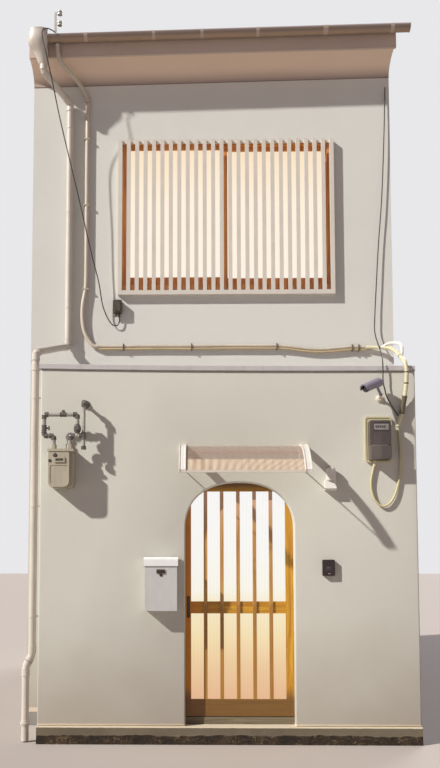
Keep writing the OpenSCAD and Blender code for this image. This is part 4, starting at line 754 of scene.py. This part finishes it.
# Painted shadow of the arch's head across the top of the leaf.
shaded(DOOR_WOOD, 2, 2.02, 2.09, (84, 52, 24), 0.85, 0.01, 3.0)
dress(DOOR_WOOD, "door_frame")
BAR_WOOD = wood("bar_wood", (206, 158, 88), (164, 116, 56), 2, rough=0.5, coat=0.1)
# Painted light: the bars turn pale peach towards the top, washed by the glow behind them.
shaded(BAR_WOOD, 2, 1.65, 2.0, (206, 166, 140), 0.8, 0.02, 2.0)
# Darker and more golden below the mid rail.
dress(shaded(BAR_WOOD, 2, 1.13, 1.08, (150, 100, 34), 0.55), "door_bars")
dress(lit_glass("door_glow", [
    (0, (236, 188, 146)), (0.16, (243, 208, 162)), (0.28, (250, 226, 178)), (0.44, (253, 240, 204)),
    (0.52, (255, 251, 238)), (0.7, (255, 253, 248)), (1, (255, 254, 252))], 0.97, 0.34, 2.03, flutes=0.012,
    drift=0.05), "door_glass")
dress(finish("dark_bronze", (84, 54, 26), (50, 34, 20), amount=0.6, scale=30.0, rough=0.45, Metallic=0.3),
      "door_pull")
dress(wood("sill_wood", (136, 124, 100), (92, 80, 62), 0, rough=0.8, coat=0.0), "door_sill", "door_head")

# Canopy over the doorway: a curved translucent sheet with moulded ribs, between an aluminium rail
# on the wall and a channel at the front. Each white plastic bracket is a wall plate with an
# arched arm, ridged along both edges, and a thin stay from its foot to the front.
WHITE_PLASTIC = finish("white_plastic", (222, 218, 210), (184, 176, 166), amount=0.35, scale=6.0, rough=0.35)
dress(finish("bright_aluminium", (222, 208, 194), (180, 166, 154), scale=8.0, rough=0.35, Metallic=0.3),
      "canopy_rails")
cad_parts["canopy_rails"].visible_shadow = False
CANOPY_OUT, CANOPY_DROP, CANOPY_Z = 0.390, 0.232, 2.395
NOSE_Y, NOSE_Z = FRONT_Y - CANOPY_OUT, CANOPY_Z - CANOPY_DROP


def canopy_arc(over, steps):
    """Points of the sheet's arc, that far over its underside, from the wall outwards: centre plus
    radius (cos a, sin a)."""
    chord, lean = math.hypot(CANOPY_OUT, CANOPY_DROP), math.atan2(CANOPY_DROP, CANOPY_OUT)
    radius = chord * 0.95
    half, reach = math.asin(chord / 2 / radius), math.sqrt(radius**2 - (chord / 2) ** 2)
    angle = np.linspace(math.pi / 2 + lean - half, math.pi / 2 + lean + half, steps)[:, None]
    r = radius + np.atleast_1d(over)
    return (FRONT_Y - CANOPY_OUT / 2 + reach * math.sin(lean) + r * np.cos(angle),
            CANOPY_Z - CANOPY_DROP / 2 - reach * math.cos(lean) + r * np.sin(angle))


def canopy_sheet():
    """The arc rippled across the width in ribs, as an outer and an inner skin closed at the edges."""
    low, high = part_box("canopy_sheet")
    x = np.linspace(low[0] + 0.001, high[0] - 0.001, 481)
    wave = np.sin(2 * np.pi * x / 0.060)
    skins = []
    for over in (0.0012, 0.0028):
        y, z = canopy_arc(over + 0.0008 * np.sign(wave) * np.abs(wave) ** 0.4, 40)
        skins.append(np.stack([np.broadcast_to(x, y.shape), np.clip(y, low[1], high[1]), z], -1))
    around = np.concatenate([skins[0], skins[1][::-1], skins[0][:1]], 0)
    rows, columns = around.shape[:2]
    edge = np.arange(rows * columns).reshape(rows, columns)[:-1]
    return around, woven(rows, columns), [edge[:, 0], edge[::-1, -1]]


def plate(x0, x1, z0, z1, r, near, far, arris=0.0, steps=6):
    """A plate with round corners that faces the street."""
    return prism(rounded(x0, x1, z0, z1, r, steps), near, far, arris=arris)


def canopy_bracket(x0, x1):
    """Arm, two ridges, wall plate and stay, each an outline in Y and Z carried along X."""
    def arm(start, end, outer, inner):
        rims = [np.column_stack([np.minimum(y, FRONT_Y - 0.001), z])
                for y, z in (canopy_arc(over, 24) for over in (outer, inner))]
        nose = [(NOSE_Y - outer * 0.5, NOSE_Z - 0.017), (NOSE_Y + 0.020, NOSE_Z - 0.017)]
        return prism(np.vstack([rims[0], nose, rims[1][::-1]]), start, end, "x", arris=0.0008, both=True)

    middle, foot = (x0 + x1) / 2, NOSE_Z + 0.037
    return [arm(x0 + 0.007, x1 - 0.007, 0.010, -0.022), arm(x0, x0 + 0.008, 0.0155, -0.026),
            arm(x1 - 0.008, x1, 0.0155, -0.026),
            plate(x0 + 0.002, x1 - 0.002, foot, CANOPY_Z + 0.012, 0.004, FRONT_Y - 0.012, FRONT_Y, 0.003),
            tube([(middle, FRONT_Y - 0.006, foot + 0.008), (middle, NOSE_Y + 0.010, NOSE_Z - 0.012)], 0.005,
                 (1, 0, 0), 12)]


low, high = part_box("canopy_brackets")
piece("canopy_arms", canopy_bracket(low[0], low[0] + 0.054) + canopy_bracket(high[0] - 0.054, high[0]),
      WHITE_PLASTIC, ["canopy_brackets"], 30)


def sheet_painted_shade_and_light():
    """Darker above, painted shade of the shaded wall seen through it, paler near the wall, and milky
    over its lower quarter, with bands of painted light where the ribs catch it, upright at the left
    and slanting more and more to the right."""
    paint = finish("canopy_sheet", (142, 120, 106), (124, 104, 92), amount=0.4, scale=5.0, rough=0.4,
                   runs=0.0)
    # Paler along the top edge by the wall.
    shaded(paint, 2, 2.366, 2.394, (206, 194, 178), 0.8, 0.002, 3.0)
    # The colour so far, darker above, is painted shade.
    tree, shader, painted_upper_shade, place, axes = opened(paint)
    lean = ranged(tree, axes[0], -0.05, 0.45, 0.0, -1.3)
    slant = maths(tree, "MULTIPLY_ADD", maths(tree, "SUBTRACT", axes[2], 2.2), lean, axes[0])
    slant = maths(tree, "MULTIPLY_ADD", noise(tree, place, 7.0, 2.0), 0.03, slant)
    wave = maths(tree, "SINE", maths(tree, "MULTIPLY", slant, 2 * math.pi / 0.064))
    # Painted light: pale bands where the ribs catch the light.
    painted_light_bands = mixed(tree, ranged(tree, wave, -0.6, 0.6), srgb(190, 163, 142), srgb(200, 186, 161))
    share = ranged(tree, axes[2], 2.262, 2.246)
    tree.links.new(mixed(tree, share, painted_upper_shade, painted_light_bands), shader["Base Color"])
    tree.links.new(ranged(tree, share, 0.0, 1.0, 0.42, 0.6), shader["Alpha"])
    return paint


ribs = piece("canopy_ribs", [canopy_sheet()], sheet_painted_shade_and_light(), ["canopy_sheet"], 60)
ribs.visible_shadow = False


# Wall letter box: folded steel, stove-enamelled white, its lid hung on a pin, with a black latch.
def stud(x, z, near, far, stations):
    """A round fitting that faces the street, turned from near to far."""
    return turned((x, near, z), (x, far, z), stations)


LID_PAINT = finish("lid_paint", (230, 231, 229), (204, 200, 196), amount=0.25, scale=5.0, rough=0.32)
BODY_PAINT = finish("mailbox_paint", (193, 193, 190), (168, 163, 160), scale=5.0, rough=0.34)
dress(BODY_PAINT, "mailbox_body")
dress(LID_PAINT, "mailbox_lid")
low, high = np.array(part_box("mailbox_body"))
middle, face = (low[0] + high[0]) / 2, low[1] - 0.0004
piece("mailbox_latch", [
    plate(middle - 0.0355, middle + 0.0345, 1.3595, 1.3935, 0.0065, face, face + 0.008, 0.002),
    stud(middle + 0.018, 1.3765, face, face + 0.003, [(0, 0.004), (0.3, 0.007), (1, 0.007)]),
    plate(middle - 0.010, middle + 0.012, 1.338, 1.3595, 0.003, face + 0.003, face + 0.0075, 0.001)],
    finish("latch_brown", (56, 40, 32), (34, 26, 22), amount=0.5, scale=20.0, rough=0.35))

# Door station: black case with a camera eye, a bell button, a speaker grille and a small lamp.
dress(finish("black_plastic", (36, 22, 22), (28, 20, 20), amount=0.4, scale=10.0), "intercom")
low, high = np.array(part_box("intercom"))
middle, foot, face = (low[0] + high[0]) / 2, low[2], low[1]
EYE_GLASS = finish("eye_glass", (16, 18, 24), (24, 26, 34), rough=0.08, relief=0.0, Coat_Weight=1.0)
piece("station_eye", [stud(middle, high[2] - 0.034, face + 0.002, face + 0.010, [
    (0, 0.004), (0.1, 0.0075), (0.3, 0.009), (1, 0.010)])], EYE_GLASS)
grille = [plate(middle - 0.026, middle + 0.026, z, z + 0.0025, 0.0012, face + 0.0005, face + 0.003, 0.0004, 3)
          for z in foot + 0.040 + 0.006 * np.arange(5)]
button = plate(middle - 0.014, middle + 0.014, foot + 0.060, foot + 0.076, 0.005, face + 0.0002,
               face + 0.003, 0.001)
DARK_GREY = finish("dark_grey_plastic", (66, 62, 62), (88, 84, 82), rough=0.4)
piece("station_button", grille + [button], DARK_GREY)
piece("station_lamp", [plate(middle - 0.004, middle + 0.012, foot + 0.016, foot + 0.022, 0.002, face + 0.0004,
                             face + 0.003, 0.0006)],
      finish("lamp_pink", (214, 150, 146), (190, 120, 118), rough=0.3))

# Sensor lamp and security camera: white moulded plastic, the lens behind dark glass.
dress(WHITE_PLASTIC, "sensor_lamp")
CAMERA_GREY = finish("camera_grey", (138, 130, 146), (104, 96, 112), amount=0.4, scale=8.0, rough=0.35)
dress(shaded(CAMERA_GREY, 1, FRONT_Y - 0.075, FRONT_Y - 0.050, (214, 206, 190), 1.0), "security_camera")
camera_back = np.array([RIGHT_X - 0.312, FRONT_Y - 0.085, 2.904])
camera_front = np.array([RIGHT_X - 0.446, FRONT_Y - 0.200, 2.832])
aim = unit(camera_front - camera_back)
piece("camera_lens", [
    turned(camera_front - aim * 0.002, camera_front + aim * 0.004,
           [(0, 0.031), (0.6, 0.031), (0.8, 0.029), (1, 0.026)]),
    turned(camera_front, camera_front + aim * 0.007, [(0, 0.017), (0.7, 0.017), (0.9, 0.014), (1, 0.009)])],
    EYE_GLASS)

# Electric meter on its board: cream board with a raised rim, grey case with dark glass over the
# counter's window, and a terminal cover held by two screws.
dress(finish("board_cream", (196, 188, 150), (150, 140, 108), amount=0.45, scale=6.0), "meter_board")
METER_GREY = finish("meter_grey", (84, 74, 70), (56, 48, 46), amount=0.6, scale=9.0, rough=0.35)
shaded(METER_GREY, 2, 2.394, 2.385, (98, 88, 83), 1.0)
# Painted shade: the case darkens towards its right edge.
shaded(METER_GREY, 0, RIGHT_X - 0.34, RIGHT_X - 0.29, (60, 50, 48), 0.6, 0.01, 8.0)
dress(METER_GREY, "electric_meter")
low, high = np.array(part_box("electric_meter"))
left, right, top, cover, face = low[0], high[0], high[2], low[1], low[1] + 0.010
piece("meter_glass", [
    plate(left + 0.012, right - 0.010, top - 0.132, top - 0.014, 0.006, face + 0.0030, face + 0.010, 0.001)],
    finish("meter_glass", (46, 37, 34), (34, 27, 25), amount=0.5, scale=12.0, rough=0.3, Coat_Weight=0.2))
piece("meter_window", [
    plate(left + 0.030, right - 0.020, top - 0.080, top - 0.030, 0.004, face + 0.0015, face + 0.009, 0.001),
    plate(left + 0.006, right - 0.030, 2.384, 2.390, 0.001, cover + 0.0003, cover + 0.006, 0.001)],
    finish("window_plate", (138, 130, 124), (96, 88, 82), amount=0.6, scale=30.0, rough=0.12,
           Coat_Weight=1.0))
digits = [plate(x, x + 0.013, top - 0.062, top - 0.044, 0.001, face + 0.0003, face + 0.003, steps=2)
          for x in left + 0.040 + 0.017 * np.arange(5)]
screws = [stud(x, low[2] + 0.020, cover - 0.0005, cover + 0.004, [(0, 0.004), (0.3, 0.006), (1, 0.006)])
          for x in (left + 0.022, right - 0.022)]
piece("meter_counter", digits + screws, DARK_GREY)

# Gas meter: cast and painted light grey, its counter behind a small window, hung from two unions.
dress(finish("gas_paint", (177, 169, 148), (138, 127, 106), amount=0.45, scale=6.0, rough=0.45), "gas_meter")
low, high = np.array(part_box("gas_meter"))
face = low[1] + 0.009
drums = [plate(x, x + 0.0095, 2.264, 2.276, 0.001, face - 0.006, face - 0.002, steps=2)
         for x in low[0] + 0.074 + 0.0125 * np.arange(5)]
knobs = [stud(-1.276, 2.308, face - 0.006, face, [(0, 0.012), (0.3, 0.016), (1, 0.018)]),
         stud(-1.317, 2.263, face - 0.004, face + 0.010, [(0, 0.011), (0.2, 0.014), (1, 0.014)])]
piece("gas_counter", drums + knobs, DARK_GREY)

# Gas pipes: threaded zinc-coated steel, joined by dark malleable iron fittings with beaded ends.
# The riser is thinner; the loop to the meter's inlet carries a stop valve and a filter.
GAS_X, GAS_Y = STREET_LEFT_X + 0.090, FRONT_Y - 0.115
RISER_X, LOOP_X, PORT_LEFT, PORT_RIGHT = GAS_X + 0.283, GAS_X - 0.039, GAS_X + 0.040, GAS_X + 0.174
RISER_TOP, LOOP_Z, BRANCH_Z, PORT_Z = 2.744, 2.644, 2.470, 2.396
FILTER_X, PLUG_X, VALVE_Z, CAP_Z = RISER_X - 0.052, LOOP_X + 0.155, BRANCH_Z + 0.063, BRANCH_Z + 0.058
RISER_R, GAS_R, SOCKET_R = 0.014, 0.017, 0.0195


def on_run(*places):
    """Points of the gas run from their X and Z, all in its plane in front of the wall."""
    return [(x, GAS_Y, z) for x, z in places]


def fitting(x0, z0, x1, z1, radius):
    """A socket of the gas run with a bead at both ends."""
    b = 0.005 / math.hypot(x1 - x0, z1 - z0)
    bead, end = radius + 0.002, radius - 0.002
    return turned(*on_run((x0, z0), (x1, z1)), [
        (0, end), (0.001, bead), (b, bead), (b + 0.01, radius), (1 - b - 0.01, radius), (1 - b, bead),
        (0.999, bead), (1, end)])


riser = socketed([(RISER_X, FRONT_Y - 0.004, RISER_TOP)]
                 + on_run((RISER_X, RISER_TOP), (RISER_X, BRANCH_Z - 0.104)), RISER_R, 0.026, 0.016, 0.0075)
outlet = socketed(on_run((RISER_X, BRANCH_Z), (PORT_RIGHT, BRANCH_Z), (PORT_RIGHT, PORT_Z)),
                  GAS_R, 0.022, 0.016, 0.0045)
inlet = socketed(on_run((PORT_LEFT, PORT_Z), (PORT_LEFT, BRANCH_Z), (LOOP_X, BRANCH_Z), (LOOP_X, LOOP_Z),
                        (FILTER_X, LOOP_Z), (FILTER_X, BRANCH_Z)), GAS_R, 0.022, 0.016, 0.0045)
fittings = riser[1:] + outlet[1:] + inlet[1:] + [
    stud(RISER_X, RISER_TOP, FRONT_Y, FRONT_Y - 0.022,
         [(0, 0.035), (0.3, 0.035), (0.36, 0.032), (0.9, 0.024), (1, 0.020)]),
    fitting(RISER_X, BRANCH_Z - 0.112, RISER_X, BRANCH_Z - 0.084, 0.020),
    fitting(RISER_X, BRANCH_Z - 0.028, RISER_X, BRANCH_Z + 0.028, SOCKET_R),
    fitting(RISER_X - 0.034, BRANCH_Z, RISER_X - 0.004, BRANCH_Z, SOCKET_R),
    fitting(PLUG_X - 0.025, LOOP_Z, PLUG_X + 0.025, LOOP_Z, SOCKET_R),
    turned(*on_run((PLUG_X, LOOP_Z), (PLUG_X, LOOP_Z + 0.036)),
           [(0, 0.019), (0.5, 0.019), (0.55, 0.013), (0.95, 0.013), (1, 0.011)]),
    turned(*on_run((FILTER_X, BRANCH_Z + 0.020), (FILTER_X, BRANCH_Z + 0.096)),
           [(0, 0.018), (0.08, 0.021), (0.2, 0.027), (0.5, 0.031), (0.8, 0.027), (0.92, 0.021), (1, 0.018)]),
    stud(FILTER_X, CAP_Z, GAS_Y, GAS_Y - 0.042, [(0, 0.020), (0.92, 0.020), (1, 0.017)]),
    fitting(LOOP_X, VALVE_Z - 0.023, LOOP_X, VALVE_Z + 0.023, 0.021),
    turned(*on_run((LOOP_X, VALVE_Z), (LOOP_X + 0.046, VALVE_Z)), [(0, 0.008), (0.94, 0.008), (1, 0.006)]),
    prism(rounded(LOOP_X + 0.034, LOOP_X + 0.046, BRANCH_Z + 0.046, BRANCH_Z + 0.082, 0.004, 3),
          GAS_Y - 0.006, GAS_Y + 0.006, arris=0.002, both=True)]
piece("gas_pipework", [riser[0], outlet[0], inlet[0]],
      finish("pipe_zinc", (172, 168, 158), (112, 104, 96), amount=0.7, scale=22.0, rough=0.25),
      ["gas_pipes"])
piece("gas_fittings", fittings,
      finish("fitting_iron", (104, 96, 90), (52, 46, 42), amount=0.7, scale=26.0, rough=0.25))

# Conduits: bent grey-ivory plastic pipe up the upper wall and under the eave, and corrugated
# cream hose from the ledge to the electric meter, with a hooked pipe that sheds the rain.
CONDUIT_IVORY = finish("conduit_ivory", (198, 188, 172), (146, 132, 116), amount=0.5, scale=4.0)
CONDUIT_X, SADDLE_Y = STREET_LEFT_X + 0.276, UPPER_Y - 0.0455
wall_route = smooth_route(np.array([
    (115, -24, 3406), (90, -24, 3406), (62, -24, 3420), (20, -24, 3475), (-16, -26, 3560),
    (-32, -28, 3680), (-26, -28, 3810), (-6, -26, 3930), (0, -24, 4060), (0, -24, 4600),
    (0, -24, 5200), (0, -24, 5700), (-20, -28, 5790), (-78, -70, 5880), (-150, -160, 5930),
    (-205, -235, 5965), (-236, -278, 6020), (-244, -298, 6118)]) / 1000 + (CONDUIT_X, UPPER_Y, 0))
saddles = [plate(CONDUIT_X - 0.030, CONDUIT_X + 0.030, z, z + 0.016, 0.003, SADDLE_Y, UPPER_Y, 0.006, 3)
           for z in (3.93, 4.72, 5.35, 5.69)]
piece("wall_pipe", [tube(wall_route, 0.019, (0.5, 1, 0), 24)] + saddles, CONDUIT_IVORY,
      ["wall_conduit"])

HOSE_STEPS, HOSE_ACROSS = 36, (1, 0, 0.2)
hose_points = np.array([
    (-255, 706, 3386), (-195, 698, 3384), (-130, 672, 3376), (-75, 630, 3362), (-43, 560, 3330),
    (-34, 400, 3251), (-57, 200, 3170), (-87, -20, 3090), (-91, -68, 3044), (-87, -78, 2994),
    (-89, -68, 2899), (-100, -50, 2791), (-114, -32, 2704), (-125, -24, 2627)]) / 1000 + (RIGHT_X, FRONT_Y, 0)
hose_path = smooth_route(hose_points, HOSE_STEPS)
run = np.concatenate([[0], np.cumsum(np.linalg.norm(np.diff(hose_path, axis=0), axis=1))])
hook_route = smooth_route(np.array([
    (-150, 660, 3366), (-123, 660, 3375), (-68, 620, 3400), (-15, 550, 3386), (8, 480, 3346),
    (0, 420, 3280), (-20, 372, 3222)]) / 1000 + (RIGHT_X, FRONT_Y, 0))
collar = np.array([RIGHT_X - 0.153, FRONT_Y - 0.020, 2.554])
gland = np.array([RIGHT_X - 0.345, FRONT_Y - 0.015, 2.228])
piece("meter_hose", [
    tube(hose_path, 0.0168 + 0.0012 * np.sin(run * 2 * np.pi / 0.011), HOSE_ACROSS),
    turned(gland, gland + (0.002, 0, 0.046),
           [(0, 0.0110), (0.1, 0.0135), (0.6, 0.0135), (0.62, 0.0155), (1, 0.0155)]),
    turned(hose_points[-1] + (0, 0, 0.020), collar, [(0, 0.0135), (0.05, 0.015), (0.95, 0.015), (1, 0.013)])],
    finish("hose_cream", (212, 204, 170), (170, 158, 122), amount=0.4, scale=6.0, rough=0.45),
    ["meter_conduit"])
piece("rain_hook", [tube(hook_route, 0.014, (0.4, 0, 1))], WHITE_PLASTIC)
OLIVE = finish("sleeve_olive", (92, 82, 60), (62, 54, 40))
tape = [(0, 0.0175), (0.1, 0.0195), (0.9, 0.0195), (1, 0.0175)]
tapes = [turned(hose_path[i] - step, hose_path[i] + step, tape)
         for i, step in ((i, 0.005 * unit(hose_path[i + 1] - hose_path[i])) for i in (199, 325, 359))]
piece("hose_sleeve", [tube(hose_path[11 * HOSE_STEPS - 4:12 * HOSE_STEPS + 22], 0.0205, HOSE_ACROSS)] + tapes,
      OLIVE)

# Two cables along the foot of the upper wall, tied together and saddled to the plaster, slack
# between the last ties.
BUNDLE_Z = 3.406
slack = np.array([(-1064, 0), (-955, -8), (-805, -28), (-695, -36), (-575, -32), (-475, -22), (-381, -14),
                  (-264, -18)]) / 1000


def strand(y, z, radius):
    """Straight to the third tie, then a smooth curve through the slack points."""
    x = np.linspace(CONDUIT_X + 0.120, RIGHT_X + slack[0, 0], 30)[:-1]
    taut = np.column_stack([x, np.full(29, y), z + 0.0008 * np.sin(x * 9.0)])
    loose = smooth_route(np.column_stack([RIGHT_X + slack[:, 0], np.full(8, y), z + slack[:, 1]]))
    return tube(np.vstack([taut, loose]), radius, sides=18)


ties = [plate(RIGHT_X + x - 0.005, RIGHT_X + x + 0.005, BUNDLE_Z + z - 0.038, BUNDLE_Z + z + 0.021, 0.002,
              SADDLE_Y, UPPER_Y, 0.003, 3)
        for x, z in ((-2.459, 0), (-1.838, 0), (-1.064, 0), (-0.381, -0.014), (-0.323, -0.016))]
piece("wall_bundle", [strand(UPPER_Y - 0.024, BUNDLE_Z, 0.014)], CONDUIT_IVORY, ["cable_run"])
piece("bundle_ties", ties, OLIVE)
piece("lower_strand", [strand(UPPER_Y - 0.027, BUNDLE_Z - 0.025, 0.010)],
      finish("cable_tan", (192, 172, 136), (140, 118, 84), amount=0.5, scale=3.0, runs=0.0))

# Junction box under the window, black plastic, and the strap with two spool insulators that
# carries the service wire at the gutter's end.
dress(finish("box_black", (48, 42, 32), (112, 100, 80), amount=0.7, scale=26.0), "junction_box")
dress(finish("bracket_zinc", (190, 186, 180), (140, 134, 126), amount=0.5, scale=12.0, rough=0.4,
             Metallic=0.3), "service_bracket")

# Floor, surround and lamps of the studio: a pale floor, an even white surround, one large soft key
# from the upper left, a weak fill from behind, and a warm lamp in the room behind the door.
floor_mesh = bpy.data.meshes.new("studio_floor")
floor_mesh.from_pydata([(-60, -60, 0), (60, -60, 0), (60, 60, 0), (-60, 60, 0)], [], [(0, 1, 2, 3)])
floor_mesh.materials.append(finish("studio_floor", (176, 167, 160), (170, 161, 154), scale=0.6, rough=0.9))
stood("studio_floor", floor_mesh)

world = bpy.data.worlds.new("studio")
bpy.context.scene.world = world
world.use_nodes = True
tree = world.node_tree
rays = add(tree, "LightPath").outputs
seen = maths(tree, "MAXIMUM", rays["Is Camera Ray"], rays["Is Glossy Ray"])
seen = maths(tree, "MAXIMUM", seen, rays["Is Transmission Ray"])
surround = tree.nodes["Background"].inputs
tree.links.new(mixed(tree, seen, (0.172, 0.142, 0.184, 1), srgb(232, 232, 234)), surround["Color"])
surround["Strength"].default_value = 1.0

for name, kind, energy, colour, softness, direction in (
    ("key", "SUN", 4.9, (1.0, 0.972, 0.925), ("angle", math.radians(1.5)), (1.8, 1.0, -1.5)),
    ("fill", "SUN", 1.4, (1.0, 1.0, 1.0), ("angle", math.radians(25)), (-0.5, -1.0, -0.7)),
    ("room", "POINT", 60.0, (1.0, 0.86, 0.66), ("shadow_soft_size", 0.3), (0, 0, -1)),
):
    light = bpy.data.lights.new(name, kind)
    light.energy, light.color = energy, colour
    setattr(light, *softness)
    lamp = stood(name, light)
    lamp.rotation_euler = Vector(direction).to_track_quat("-Z", "Y").to_euler()
    lamp.location = (0.2, -1.4, 2.3)

bpy.context.scene.view_settings.view_transform = "Standard"
